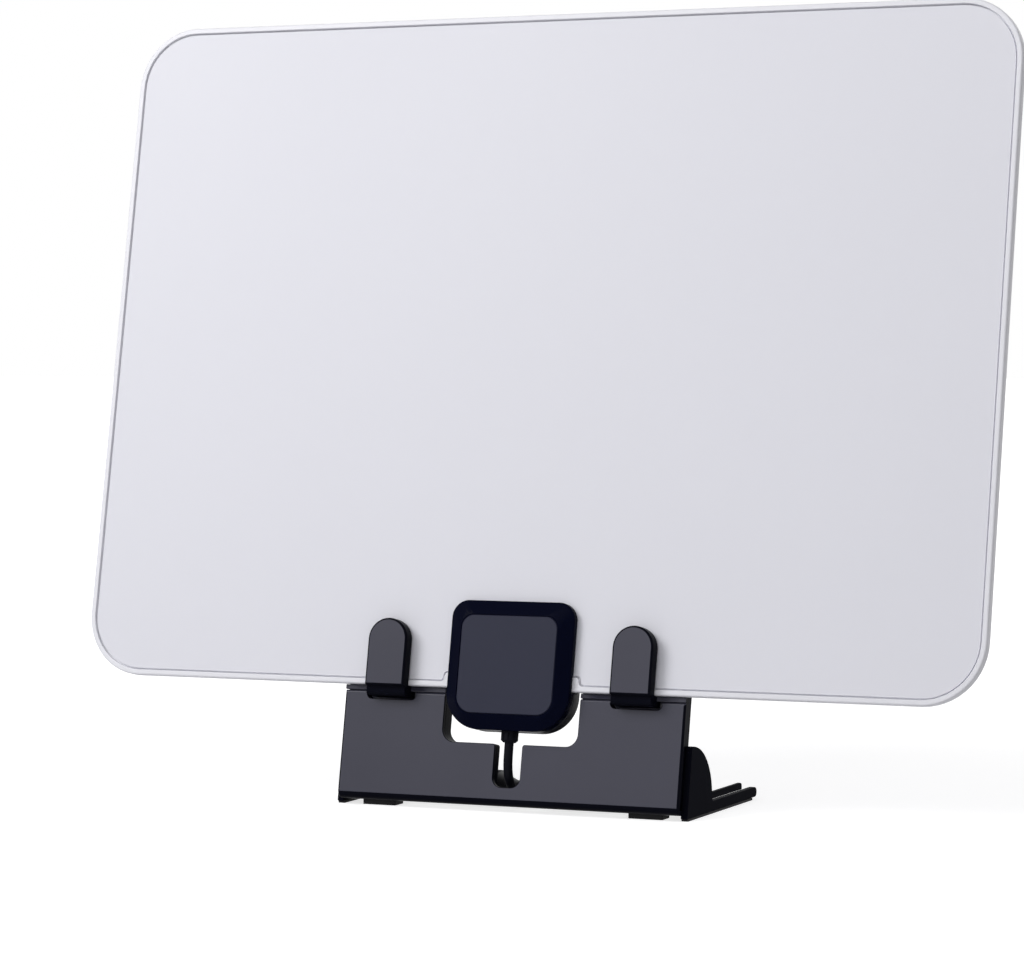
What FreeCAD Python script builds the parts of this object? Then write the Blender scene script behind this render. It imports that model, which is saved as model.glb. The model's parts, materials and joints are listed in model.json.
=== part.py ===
"""Indoor television antenna: a flat leaning panel with a junction box, held in a hooked table stand.

Frame: +Z up, +X to the right, the front faces -Y. The origin is on the table,
at the middle of the footprint.
Leaning pieces are drawn in a frame of their own: X to the right, Y up the panel from its lower edge,
Z out of the panel's front.
"""
import FreeCAD, Part
import math
import os
import Sketcher

Vector = FreeCAD.Vector
Rotation = FreeCAD.Rotation
Placement = FreeCAD.Placement

SIZES = {
    # Panel
    "lean_angle": 11.6,
    "seat_height": 37.34,
    "panel_width": 300.0,
    "panel_height": 212.0,
    "panel_depth": 3.4,
    "panel_corner": 19.5,
    "rim_width": 1.75,
    "rim_edge": 0.4,
    "groove_width": 0.5,
    "sheet_recess": 0.5,
    "front_sheet_thick": 1.0,
    "rear_sheet_thick": 0.9,
    "rear_recess": 0.3,
    "rear_sheet_gap": 0.15,
    "flange_width": 4.5,
    "film_thick": 0.35,
    "film_gap": 0.3,
    "tab_width": 45.1,
    "tab_rise": 2.7,
    "tab_corner": 1.2,
    "radiator_feed_gap": 3.0,
    "radiator_feed_width": 3.0,
    "radiator_inner_height": 84.0,
    "radiator_outer_height": 182.0,
    "radiator_length": 126.0,
    "radiator_root": 8.0,
    # Junction box
    "box_width": 41.1,
    "box_above_edge": 26.9,
    "box_below_edge": 12.7,
    "box_top_corner": 5.4,
    "box_bottom_corner": 11.4,
    "box_side_front": 1.9,
    "box_border_rise": 2.3,
    "box_rear": 7.4,
    "box_rear_edge": 1.2,
    "box_wall": 1.6,
    "box_floor": 1.4,
    "box_ceiling": 1.2,
    "face_width": 32.2,
    "face_top_border": 4.55,
    "face_bottom_border": 4.66,
    "face_top_corner": 4.0,
    "face_bottom_corner": 5.2,
    "face_thick": 1.2,
    "face_edge": 0.25,
    "face_gap": 0.1,
    "notch_width": 34.0,
    "notch_height": 20.0,
    "notch_gap": 0.15,
    "board_width": 21.0,
    "board_height": 24.0,
    "board_thick": 1.0,
    "board_bottom": -8.0,
    "board_post": 3.0,
    "board_post_inset": 2.5,
    "core_width": 7.0,
    "core_height": 5.6,
    "core_depth": 2.4,
    "core_hole": 1.6,
    "core_above_board_bottom": 5.0,
    "box_screw_x": 13.0,
    "box_screw_up": 4.0,
    "box_boss": 4.6,
    "box_screw_shank": 2.0,
    "box_screw_head": 3.6,
    "box_screw_head_thick": 1.1,
    "box_screw_sink": 1.3,
    "box_screw_bite": 1.6,
    "screw_gap": 0.1,
    "relief_setback": 2.4,
    "relief_radius": 2.65,
    "relief_flange": 3.2,
    "relief_flange_thick": 1.2,
    "relief_neck": 2.6,
    "relief_tip": 0.7,
    "relief_tip_radius": 1.9,
    "relief_flute": 0.3,
    "relief_flutes": 10.0,
    "relief_gap": 0.05,
    # Stand
    "stand_depth": 81.42,
    "cover_overhang": 0.6,
    "cover_setback": 2.0,
    "cover_thick": 1.5,
    "cover_top_drop": 1.8,
    "cover_seam": 0.2,
    "rail_drop": 0.15,
    "cover_drop": 35.3,
    "cover_lip": 2.3,
    "cover_edge": 0.45,
    "gate_width": 45.2,
    "gate_drop": 16.5,
    "gate_corner": 4.0,
    "slot_width": 9.1,
    "slot_drop": 29.7,
    "slot_corner": 3.0,
    "slot_mouth_corner": 0.8,
    "body_width": 112.8,
    "body_plate": 2.5,
    "body_rib_depth": 2.2,
    "body_rib": 1.8,
    "body_above_edge": 24.0,
    "body_corner": 6.0,
    "body_slot_extra": 1.8,
    "hook_spacing": 82.0,
    "hook_width": 13.2,
    "hook_front": 4.2,
    "hook_rise": 20.4,
    "hook_floor": 3.4,
    "hook_round": 1.2,
    "hook_skirt": 0.5,
    "hook_step": 1.6,
    "hook_edge": 0.4,
    "hook_play": 0.15,
    "hook_window": 16.8,
    "hook_window_drop": 4.2,
    "hook_window_corner": 1.6,
    "hook_window_depth": 1.6,
    # Legs and feet
    "leg_thick": 2.2,
    "leg_setback": 5.6,
    "leg_height": 22.0,
    "gusset_depth": 16.3,
    "gusset_crest": 0.5,
    "bar_top": 3.8,
    "bar_short_of_rear": 19.3,
    "bar_root_round": 1.5,
    "bar_end_round": 1.5,
    "strip_thick": 0.7,
    "strip_inset": 1.0,
    "strip_short_of_end": 4.0,
    "foot_width": 11.2,
    "foot_inset": 11.8,
    "foot_lead": 2.4,
    "foot_depth": 6.0,
    "foot_height": 2.4,
    "foot_edge": 0.5,
    "web_thick": 2.6,
    "web_depth": 9.0,
    "web_length": 19.5,
    "tab_thick": 2.5,
    "tab_top": -18.5,
    "prong_inset": 13.2,
    "prong_thick": 1.5,
    "prong_height": 2.2,
    "prong_taper": 33.0,
    "prong_root": 2.0,
    "prong_end_round": 0.9,
    "leg_screw_height": -23.5,
    "leg_screw_inner": 14.4,
    "leg_screw_outer": 5.4,
    "leg_boss": 5.6,
    "leg_screw_shank": 2.4,
    "leg_screw_head": 4.6,
    "leg_screw_head_thick": 1.6,
    "leg_screw_bite": 2.4,
    # Cable, coil and plug
    "cable_width": 2.8,
    "cable_exit_run": 3.4,
    "lead_run": 4.0,
    "coil_x": 20.2,
    "coil_y": -2.6,
    "coil_lift": 0.8,
    "coil_pitch": 2.85,
    "coil_columns": 4.0,
    "coil_rows": 4.0,
    "coil_outer_turn": 19.3,
    "coil_lead_in": 16.0,
    "coil_lead_out": 11.0,
    "tie_width": 4.0,
    "tie_thick": 0.7,
    "tie_gap": 0.1,
    "tie_inner_gap": 0.4,
    "plug_grip_radius": 5.2,
    "plug_grip_neck": 2.4,
    "plug_grip_taper": 7.0,
    "plug_grip_length": 18.0,
    "plug_seat_depth": 5.0,
    "plug_seat_radius": 4.5,
    "plug_shell_radius": 4.76,
    "plug_shell_bore": 4.15,
    "plug_shell_length": 12.0,
    "plug_insulator_length": 7.0,
    "plug_pin_radius": 1.17,
    "plug_pin_proud": 0.6,
    "plug_gap": 0.02,
}

# Share of the shorter run that each bend of the cable takes up
ARC_SHARE = 0.45
# The cable's way down from the box: shares of its way aside, of its way back and of its way down
CABLE_FALL = ((-0.3, -0.038, 0.3942), (-0.55, 0.0374, 0.6102), (-0.3, 0.1998, 0.7998), (0.4, 0.4375, 0.9315),
              (1.0, 0.7101, 1.0))
# The cable's way from the coil to the plug: first runs aside and back, then a share of its way up
PLUG_LEAD = ((-1.0, 0.0, 0.0), (-2.025, 0.1, 1.0), (-3.175, 0.35, 1.0))


class Dim:
    """A size that carries its number and the sheet formula that gives it."""

    def __init__(self, value, formula):
        self.value = value
        self.formula = formula

    def __add__(self, other):
        other = as_dim(other)
        return Dim(self.value + other.value, f"({self.formula} + {other.formula})")

    def __sub__(self, other):
        other = as_dim(other)
        return Dim(self.value - other.value, f"({self.formula} - {other.formula})")

    def __mul__(self, other):
        other = as_dim(other)
        return Dim(self.value * other.value, f"({self.formula} * {other.formula})")

    def __truediv__(self, other):
        other = as_dim(other)
        return Dim(self.value / other.value, f"({self.formula} / {other.formula})")

    def __neg__(self):
        return Dim(-self.value, f"(-1 * {self.formula})")

    __radd__ = __add__
    __rmul__ = __mul__


def as_dim(thing):
    """Any plain number as a Dim."""
    if isinstance(thing, Dim):
        return thing
    return Dim(float(thing), repr(float(thing)))


class SheetSizes:
    """The sheet's sizes, each under its own alias."""


doc = FreeCAD.newDocument("indoor_antenna")
sheet = doc.addObject("Spreadsheet::Sheet", "sizes")
size = SheetSizes()
for row, (alias, number) in enumerate(SIZES.items(), 1):
    sheet.set(f"A{row}", alias)
    sheet.set(f"B{row}", repr(number))
    sheet.setAlias(f"B{row}", alias)
    setattr(size, alias, Dim(number, f"sizes.{alias}"))
doc.recompute()

ZERO = Dim(0.0, "0")
LEAN = math.radians(size.lean_angle.value)
SINE = Dim(math.sin(LEAN), "sin(sizes.lean_angle * 1deg)")
COSINE = Dim(math.cos(LEAN), "cos(sizes.lean_angle * 1deg)")
tilt = 90 + -size.lean_angle
MATCH = 0.01

# Depths behind the panel's front plane, and heights from its lower edge
split = -size.panel_depth / 2
sheet_front = -size.sheet_recess
flange_front = sheet_front - size.front_sheet_thick
flange_back = -(size.panel_depth - size.rear_recess - size.rear_sheet_thick)
rear_sheet_back = -(size.panel_depth - size.rear_recess)
film_front = flange_back + size.film_thick
box_face = size.box_side_front + size.box_border_rise
face_seat = box_face - size.face_thick
face_low = -size.box_below_edge + size.face_bottom_border
board_front = flange_back
board_back = board_front - size.board_thick
cover_front = -size.cover_setback
cover_back = cover_front - size.cover_thick
body_back = cover_back - size.body_plate
rib_back = body_back - size.body_rib_depth
tab_back = rib_back - size.tab_thick
cover_width = size.body_width + 2 * size.cover_overhang

# The leaning frame's own origin: the box's face is what reaches furthest forward
lean_y0 = -size.stand_depth / 2 - face_low * SINE + box_face * COSINE
lean_z0 = size.seat_height


def lean_y(up, out):
    """Depth in the part's frame of a point of the leaning frame."""
    return lean_y0 + up * SINE - out * COSINE


def lean_z(up, out):
    """Height in the part's frame of a point of the leaning frame."""
    return lean_z0 + up * COSINE + out * SINE


def plate_y(out, height):
    """Depth at which a leaning plane, out from the panel's front, passes a height."""
    up = (height - lean_z0 - out * SINE) / COSINE
    return lean_y(up, out)


def bind(thing, prop, dim):
    """Ties a property to the sheet."""
    thing.setExpression(prop, dim.formula)


def new_body(name):
    """An empty body for one piece."""
    body = doc.addObject("PartDesign::Body", name)
    body.Label = name
    return body


def leaning_body(name, up=ZERO, out=ZERO):
    """An empty body in the leaning frame, with its origin at a point of that frame."""
    body = new_body(name)
    body.Placement = Placement(Vector(0, lean_y(up, out).value, lean_z(up, out).value),
                               Rotation(Vector(1, 0, 0), tilt.value))
    bind(body, "Placement.Base.y", lean_y(up, out))
    bind(body, "Placement.Base.z", lean_z(up, out))
    bind(body, "Placement.Rotation.Angle", tilt)
    return body


def origin_plane(body, role):
    """One of the body's own base planes."""
    return next(plane for plane in body.Origin.OriginFeatures if plane.Role == role)


def new_sketch(body, name, role, lift):
    """A sketch on a base plane of the body, lifted along the plane's normal."""
    sketch = body.newObject("Sketcher::SketchObject", f"{body.Label}_{name}")
    sketch.AttachmentSupport = [(origin_plane(body, role), "")]
    sketch.MapMode = "FlatFace"
    sketch.AttachmentOffset = Placement(Vector(0, 0, lift.value), Rotation())
    bind(sketch, "AttachmentOffset.Base.z", lift)
    return sketch


def pin_point(sketch, geometry, end, across, up):
    """Holds one end of a sketch line at a place that the sheet gives."""
    for kind, dim in (("DistanceX", across), ("DistanceY", up)):
        index = sketch.addConstraint(Sketcher.Constraint(kind, -1, 1, geometry, end, dim.value))
        sketch.setExpression(f"Constraints[{index}]", dim.formula)


def step_towards(start, goal, distance):
    """A point on the level or upright edge from start to goal, at a distance from start."""
    across = goal[0].value - start[0].value
    up = goal[1].value - start[1].value
    if abs(across) > abs(up):
        return (start[0] + distance * math.copysign(1, across), start[1])
    return (start[0], start[1] + distance * math.copysign(1, up))


def draw_outline(sketch, corners):
    """Adds a closed outline to a sketch: corners are (across, up) or (across, up, radius)."""
    corners = [tuple(as_dim(number) for number in corner) for corner in corners]
    stops = []
    for index, corner in enumerate(corners):
        if len(corner) == 2:
            stops.append((corner, corner, None))
            continue
        before = corners[index - 1]
        after = corners[(index + 1) % len(corners)]
        enter = step_towards(corner, before, corner[2])
        leave = step_towards(corner, after, corner[2])
        stops.append((enter, leave, corner[2]))
    lines = []
    for index, (_, leave, _) in enumerate(stops):
        arrive = stops[(index + 1) % len(stops)][0]
        ends = [Vector(spot[0].value, spot[1].value, 0) for spot in (leave, arrive)]
        line = sketch.addGeometry(Part.LineSegment(*ends), False)
        pin_point(sketch, line, 1, leave[0], leave[1])
        lines.append(line)
    for index, (enter, leave, radius) in enumerate(stops):
        before = lines[index - 1]
        after = lines[index]
        if radius is None:
            sketch.addConstraint(Sketcher.Constraint("Coincident", before, 2, after, 1))
            continue
        pin_point(sketch, before, 2, enter[0], enter[1])
        round_corner(sketch, corners[index], enter, leave, radius, before, after)


def round_corner(sketch, corner, enter, leave, radius, before, after):
    """Joins two square edges of an outline by an arc."""
    start, tip, stop = [Vector(spot[0].value, spot[1].value, 0) for spot in (enter, corner, leave)]
    centre = start + stop - tip
    left_turn = (tip - start).cross(stop - tip).z > 0
    if not left_turn:
        start, stop = stop, start
    angles = [math.atan2(spot.y - centre.y, spot.x - centre.x) for spot in (start, stop)]
    if angles[1] < angles[0]:
        angles[1] += 2 * math.pi
    circle = Part.Circle(centre, Vector(0, 0, 1), radius.value)
    arc = sketch.addGeometry(Part.ArcOfCircle(circle, *angles), False)
    ends = (1, 2) if left_turn else (2, 1)
    sketch.addConstraint(Sketcher.Constraint("Coincident", before, 2, arc, ends[0]))
    sketch.addConstraint(Sketcher.Constraint("Coincident", after, 1, arc, ends[1]))
    index = sketch.addConstraint(Sketcher.Constraint("Radius", arc, radius.value))
    sketch.setExpression(f"Constraints[{index}]", radius.formula)


def outline_sketch(body, name, *outlines, role="XY_Plane", lift=ZERO):
    """A sketch that holds one or more closed outlines."""
    sketch = new_sketch(body, name, role, lift)
    for corners in outlines:
        draw_outline(sketch, corners)
    return sketch


def circle_sketch(body, name, centres, radius, role="XY_Plane", lift=ZERO):
    """A sketch of equal circles."""
    sketch = new_sketch(body, name, role, lift)
    for across, up in centres:
        across = as_dim(across)
        up = as_dim(up)
        circle = Part.Circle(Vector(across.value, up.value, 0), Vector(0, 0, 1), radius.value)
        geometry = sketch.addGeometry(circle, False)
        pin_point(sketch, geometry, 3, across, up)
        index = sketch.addConstraint(Sketcher.Constraint("Radius", geometry, radius.value))
        sketch.setExpression(f"Constraints[{index}]", radius.formula)
    return sketch


def pad(body, sketch, length, back=False, both=False):
    """Adds material from a sketch: along its normal, back from it, or half to each side."""
    feature = body.newObject("PartDesign::Pad", f"{sketch.Name}_pad")
    feature.Profile = sketch
    feature.Length = length.value
    bind(feature, "Length", length)
    feature.Reversed = back
    if both:
        feature.SideType = "Symmetric"
    doc.recompute()
    return feature


def pocket(body, sketch, length=None, back=False, both=False):
    """Cuts a sketch's outline: to a depth, or right through where no depth is given."""
    before = body.Shape.Volume
    feature = body.newObject("PartDesign::Pocket", f"{sketch.Name}_cut")
    feature.Profile = sketch
    if length is None:
        feature.Type = "ThroughAll"
        feature.SideType = "Symmetric"
    else:
        feature.Length = length.value
        bind(feature, "Length", length)
        feature.Reversed = back
        if both:
            feature.SideType = "Symmetric"
    doc.recompute()
    if body.Shape.Volume >= before - MATCH:
        raise RuntimeError(f"{feature.Name} cuts nothing")
    return feature


def round_edges(body, radius, name, pick):
    """Rounds the edges of the body so far that pick accepts."""
    base = body.Tip
    names = [f"Edge{index}" for index, edge in enumerate(base.Shape.Edges, 1) if pick(edge)]
    if not names:
        raise RuntimeError(f"{body.Label}: no edge to round for {name}")
    feature = body.newObject("PartDesign::Fillet", f"{body.Label}_{name}")
    feature.Base = (base, names)
    feature.Radius = radius.value
    bind(feature, "Radius", radius)
    doc.recompute()
    return feature


def bevel_edges(body, width, name, pick):
    """Bevels the edges of the body so far that pick accepts."""
    base = body.Tip
    feature = body.newObject("PartDesign::Chamfer", f"{body.Label}_{name}")
    feature.Base = (base, [f"Edge{index}" for index, edge in enumerate(base.Shape.Edges, 1) if pick(edge)])
    feature.Size = width.value
    bind(feature, "Size", width)
    doc.recompute()
    return feature


def level_with(axis, *places):
    """Picks edges that lie in a plane square to an axis, at one of the places."""
    def pick(edge):
        numbers = [getattr(vertex.Point, axis) for vertex in edge.Vertexes]
        return any(all(abs(number - place.value) < MATCH for number in numbers) for place in places)
    return pick


def straight_at(axis, **places):
    """Picks straight edges along an axis that stand at the given places."""
    def pick(edge):
        if not isinstance(edge.Curve, Part.Line):
            return False
        if abs(abs(getattr(edge.tangentAt(edge.FirstParameter), axis)) - 1) > MATCH:
            return False
        middle = edge.CenterOfMass
        return all(any(abs(getattr(middle, name) - place.value) < MATCH for place in options)
                   for name, options in places.items())
    return pick


def plate_corners(inset, radius):
    """The panel's outline, set in by a margin."""
    half = size.panel_width / 2 - inset
    top = size.panel_height - inset
    return [(-half, inset, radius), (half, inset, radius), (half, top, radius), (-half, top, radius)]


def tabbed_corners(inset, radius, tab):
    """The panel's outline set in by a margin, stepping up over the rim's tab behind the box."""
    half = size.panel_width / 2 - inset
    top = size.panel_height - inset
    step = inset + size.tab_rise
    turn = size.tab_corner
    return [(-half, inset, radius), (-tab, inset, turn), (-tab, step, turn), (tab, step, turn),
            (tab, inset, turn), (half, inset, radius), (half, top, radius), (-half, top, radius)]


def box_notch(body):
    """Cuts the opening at the panel's lower edge that the junction box sits in."""
    half = size.notch_width / 2
    low = -size.panel_depth
    cut = outline_sketch(body, "notch", [(-half, low), (half, low), (half, size.notch_height),
                                         (-half, size.notch_height)])
    pocket(body, cut)


def make_panel_rim():
    """The moulded frame round the panel, with an inner flange that both sheets are bonded to."""
    body = leaning_body("panel_rim")
    outer = outline_sketch(body, "outer", plate_corners(ZERO, size.panel_corner))
    pad(body, outer, size.panel_depth, back=True)
    bevel_edges(body, size.rim_edge, "edge", level_with("z", ZERO, -size.panel_depth))
    inner = size.rim_width + size.flange_width
    pocket(body, outline_sketch(body, "window", plate_corners(inner, size.panel_corner - inner)))
    inner_corner = size.panel_corner - size.rim_width
    front = tabbed_corners(size.rim_width, inner_corner, size.tab_width / 2)
    pocket(body, outline_sketch(body, "front_seat", front), -flange_front)
    seat = plate_corners(size.rim_width, size.panel_corner - size.rim_width)
    rear = outline_sketch(body, "rear_seat", seat, lift=-size.panel_depth)
    pocket(body, rear, size.rear_recess + size.rear_sheet_thick, back=True)
    box_notch(body)
    return body


def make_front_sheet():
    """The pale front sheet, with a fine groove left between it and the rim."""
    body = leaning_body("front_sheet")
    inset = size.rim_width + size.groove_width
    shape = tabbed_corners(inset, size.panel_corner - inset, size.tab_width / 2 + size.groove_width)
    pad(body, outline_sketch(body, "outer", shape, lift=sheet_front), size.front_sheet_thick, back=True)
    box_notch(body)
    return body


def make_rear_sheet():
    """The plain back sheet."""
    body = leaning_body("rear_sheet")
    inset = size.rim_width + size.rear_sheet_gap
    outer = outline_sketch(body, "outer", plate_corners(inset, size.panel_corner - inset), lift=flange_back)
    pad(body, outer, size.rear_sheet_thick, back=True)
    box_notch(body)
    return body


def tongue_half():
    """Half the width of the carrier film's tongue."""
    return size.radiator_feed_gap / 2 + size.radiator_feed_width + size.film_gap


def make_antenna_film():
    """The carrier film inside the panel, with a tongue that reaches down on to the circuit board."""
    body = leaning_body("antenna_film")
    inset = size.rim_width + size.flange_width + size.film_gap
    half = size.panel_width / 2 - inset
    top = size.panel_height - inset
    gate = size.notch_width / 2 + size.notch_gap
    roof = size.notch_height + size.notch_gap
    tongue = tongue_half()
    tip = size.board_bottom + size.board_height - size.radiator_feed_width
    turn = size.panel_corner - inset
    shape = [(-half, inset, turn), (-gate, inset), (-gate, roof), (-tongue, roof), (-tongue, tip),
             (tongue, tip), (tongue, roof), (gate, roof), (gate, inset), (half, inset, turn),
             (half, top, turn), (-half, top, turn)]
    pad(body, outline_sketch(body, "outer", shape, lift=flange_back), size.film_thick)
    return body


def make_radiator(name, side):
    """One flared foil half of the aerial, with its feed strip down the tongue."""
    body = leaning_body(name)
    near = side * size.radiator_feed_gap / 2
    strip = side * (size.radiator_feed_gap / 2 + size.radiator_feed_width)
    far = side * size.radiator_length
    middle = size.panel_height / 2
    tip = size.board_bottom + size.board_height - size.radiator_feed_width
    root = size.notch_height + size.radiator_root
    shape = [(near, tip), (strip, tip), (strip, root), (far, middle - size.radiator_outer_height / 2),
             (far, middle + size.radiator_outer_height / 2), (near, root + size.radiator_inner_height)]
    pad(body, outline_sketch(body, "outer", shape, lift=film_front), flange_front - film_front)
    return body


def box_corners():
    """The junction box's outline, seen from the front."""
    half = size.box_width / 2
    low = -size.box_below_edge
    top = size.box_above_edge
    return [(-half, low, size.box_bottom_corner), (half, low, size.box_bottom_corner),
            (half, top, size.box_top_corner), (-half, top, size.box_top_corner)]


def face_corners(margin):
    """The outline of the box's inset face, set in by a margin."""
    half = size.face_width / 2 - margin
    low = face_low + margin
    top = size.box_above_edge - size.face_top_border - margin
    return [(-half, low, size.face_bottom_corner), (half, low, size.face_bottom_corner),
            (half, top, size.face_top_corner), (-half, top, size.face_top_corner)]


def box_hollow(body, depth, back):
    """Hollows one half of the box from the plane where its halves meet."""
    half = size.notch_width / 2 - size.notch_gap - size.box_wall
    low = -size.box_below_edge + size.box_wall
    top = size.notch_height - size.notch_gap - size.box_wall
    corner = size.box_bottom_corner - size.box_wall
    shape = [(-half, low, corner), (half, low, corner),
             (half, top, size.box_wall), (-half, top, size.box_wall)]
    pocket(body, outline_sketch(body, "hollow", shape, lift=split), depth, back=back)


def box_clear_of_panel(body, name, top, depth, back):
    """Cuts a half of the box back to the panel's face, round the core that fills the panel's notch."""
    half = size.notch_width / 2 - size.notch_gap
    low = -size.notch_gap
    roof = size.notch_height - size.notch_gap
    wide = size.box_width
    if top is None:
        high = size.box_above_edge + size.box_wall
        shapes = [[(-wide, low), (-half, low), (-half, roof), (half, roof), (half, low), (wide, low),
                   (wide, high), (-wide, high)]]
    else:
        shapes = [[(-wide, low), (-half, low), (-half, top), (-wide, top)],
                  [(half, low), (wide, low), (wide, top), (half, top)]]
    pocket(body, outline_sketch(body, name, *shapes, lift=split), depth, back=back)


def tongue_slot(body, depth, back):
    """Cuts the slit in the box's core that the carrier film's tongue comes in through."""
    half = tongue_half() + size.notch_gap
    low = size.notch_height - size.notch_gap - 2 * size.box_wall
    slit = [(-half, low), (half, low), (half, size.notch_height), (-half, size.notch_height)]
    pocket(body, outline_sketch(body, "tongue_slot", slit, lift=split), depth, back=back)


def box_screw_places():
    """Centres of the box's two screws."""
    return [(side * size.box_screw_x, size.box_screw_up) for side in (-1, 1)]


def square_posts(body, name, places, width, lift):
    """A sketch of equal square posts."""
    half = width / 2
    outlines = []
    for across, up in places:
        outlines.append([(across - half, up - half), (across + half, up - half), (across + half, up + half),
                         (across - half, up + half)])
    return outline_sketch(body, name, *outlines, lift=lift)


def relief_hole(body):
    """Cuts the strain relief's opening in the box's lower wall."""
    hole = circle_sketch(body, "relief_hole", [(ZERO, -size.relief_setback)],
                         size.relief_radius + size.relief_gap, role="XZ_Plane", lift=size.box_below_edge)
    pocket(body, hole, 2 * (size.box_wall + size.relief_gap), both=True)


def make_box_front_cover():
    """The glossy front half of the box: a shallow shell whose border slopes up to the inset face."""
    body = leaning_body("box_front_cover")
    pad(body, outline_sketch(body, "outer", box_corners(), lift=split), size.box_side_front - split)
    foot = outline_sketch(body, "border_foot", box_corners(), lift=size.box_side_front)
    crest = outline_sketch(body, "border_crest", face_corners(-size.face_gap), lift=box_face)
    border = body.newObject("PartDesign::AdditiveLoft", "box_front_cover_border")
    border.Profile = foot
    border.Sections = [crest]
    border.Ruled = True
    doc.recompute()
    pocket(body, outline_sketch(body, "face_seat", face_corners(ZERO), lift=box_face), size.face_thick)
    box_hollow(body, face_seat - size.box_ceiling - split, back=True)
    box_clear_of_panel(body, "sheet_seat", None, sheet_front - split, back=True)
    rim_top = size.rim_width + size.tab_rise + size.groove_width
    box_clear_of_panel(body, "rim_seat", rim_top, -split, back=True)
    tongue_slot(body, flange_front - split + size.notch_gap, back=True)
    bosses = square_posts(body, "bosses", box_screw_places(), size.box_boss, split)
    pad(body, bosses, face_seat - size.box_ceiling - split)
    pilots = circle_sketch(body, "pilots", box_screw_places(), size.box_screw_shank / 2, lift=split)
    pocket(body, pilots, size.box_screw_bite, back=True)
    relief_hole(body)
    return body


def make_box_face_plate():
    """The satin plate let into the front of the box."""
    body = leaning_body("box_face_plate")
    outer = outline_sketch(body, "outer", face_corners(size.face_gap), lift=box_face)
    pad(body, outer, size.face_thick, back=True)
    bevel_edges(body, size.face_edge, "edge", level_with("z", box_face))
    return body


def make_box_rear_cover():
    """The rear half of the box, with posts for the board and sunk holes for the screws."""
    body = leaning_body("box_rear_cover")
    floor = -size.box_rear + size.box_floor
    pad(body, outline_sketch(body, "outer", box_corners(), lift=split), size.box_rear + split, back=True)
    bevel_edges(body, size.box_rear_edge, "edge", level_with("z", -size.box_rear))
    box_hollow(body, split - floor, back=False)
    box_clear_of_panel(body, "sheet_seat", None, split - rear_sheet_back, back=False)
    rim_top = size.rim_width + size.rear_sheet_gap
    box_clear_of_panel(body, "rim_seat", rim_top, size.panel_depth + split, back=False)
    tongue_slot(body, split - flange_back, back=False)
    bosses = square_posts(body, "bosses", box_screw_places(), size.box_boss, split)
    pad(body, bosses, split - floor, back=True)
    holes = circle_sketch(body, "holes", box_screw_places(), size.box_screw_shank / 2 + size.screw_gap)
    pocket(body, holes)
    sinks = circle_sketch(body, "sinks", box_screw_places(), size.box_screw_head / 2 + size.screw_gap,
                          lift=-size.box_rear)
    pocket(body, sinks, size.box_screw_sink, back=True)
    across = size.board_width / 2 - size.board_post_inset
    low = size.board_bottom + size.board_post_inset
    top = size.board_bottom + size.board_height - size.board_post_inset
    corners = [(-across, low), (across, low), (-across, top), (across, top)]
    posts = square_posts(body, "posts", corners, size.board_post, floor)
    pad(body, posts, board_back - floor)
    relief_hole(body)
    return body


def make_circuit_board():
    """The small board that joins the aerial to the cable."""
    body = leaning_body("circuit_board")
    half = size.board_width / 2
    top = size.board_bottom + size.board_height
    shape = [(-half, size.board_bottom), (half, size.board_bottom), (half, top), (-half, top)]
    pad(body, outline_sketch(body, "outer", shape, lift=board_back), size.board_thick)
    return body


def make_balun_core():
    """The two-hole ferrite core of the matching transformer."""
    body = leaning_body("balun_core")
    half = size.core_width / 2
    low = size.board_bottom + size.core_above_board_bottom
    top = low + size.core_height
    shape = [(-half, low), (half, low), (half, top), (-half, top)]
    pad(body, outline_sketch(body, "outer", shape, lift=board_front), size.core_depth)
    middle = board_front + size.core_depth / 2
    holes = circle_sketch(body, "holes", [(-half / 2, middle), (half / 2, middle)], size.core_hole / 2,
                          role="XZ_Plane", lift=-low)
    pocket(body, holes, 2 * (size.core_height + size.core_hole), both=True)
    return body


def screw_shape(seat, axis, head_radius, head_thick, shank_radius, length):
    """A cheese-head screw: its head stands on seat, its shank runs along axis."""
    head = Part.makeCylinder(head_radius, head_thick, seat, -axis)
    shank = Part.makeCylinder(shank_radius, length, seat, axis)
    return head.fuse(shank).removeSplitter()


def make_screws(name, places, seat, head, head_thick, shank, length):
    """A group of equal screws, driven forwards from behind."""
    frame = Placement(Vector(0, lean_y0.value, lean_z0.value), Rotation(Vector(1, 0, 0), tilt.value))
    shapes = []
    for across, up in places:
        spot = Vector(across.value, up.value, seat.value)
        shapes.append(screw_shape(spot, Vector(0, 0, 1), head.value / 2, head_thick.value, shank.value / 2,
                                  length.value))
    group = doc.addObject("Part::Feature", name)
    group.Label = name
    group.Shape = Part.makeCompound(shapes)
    group.Placement = frame
    return group


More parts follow.
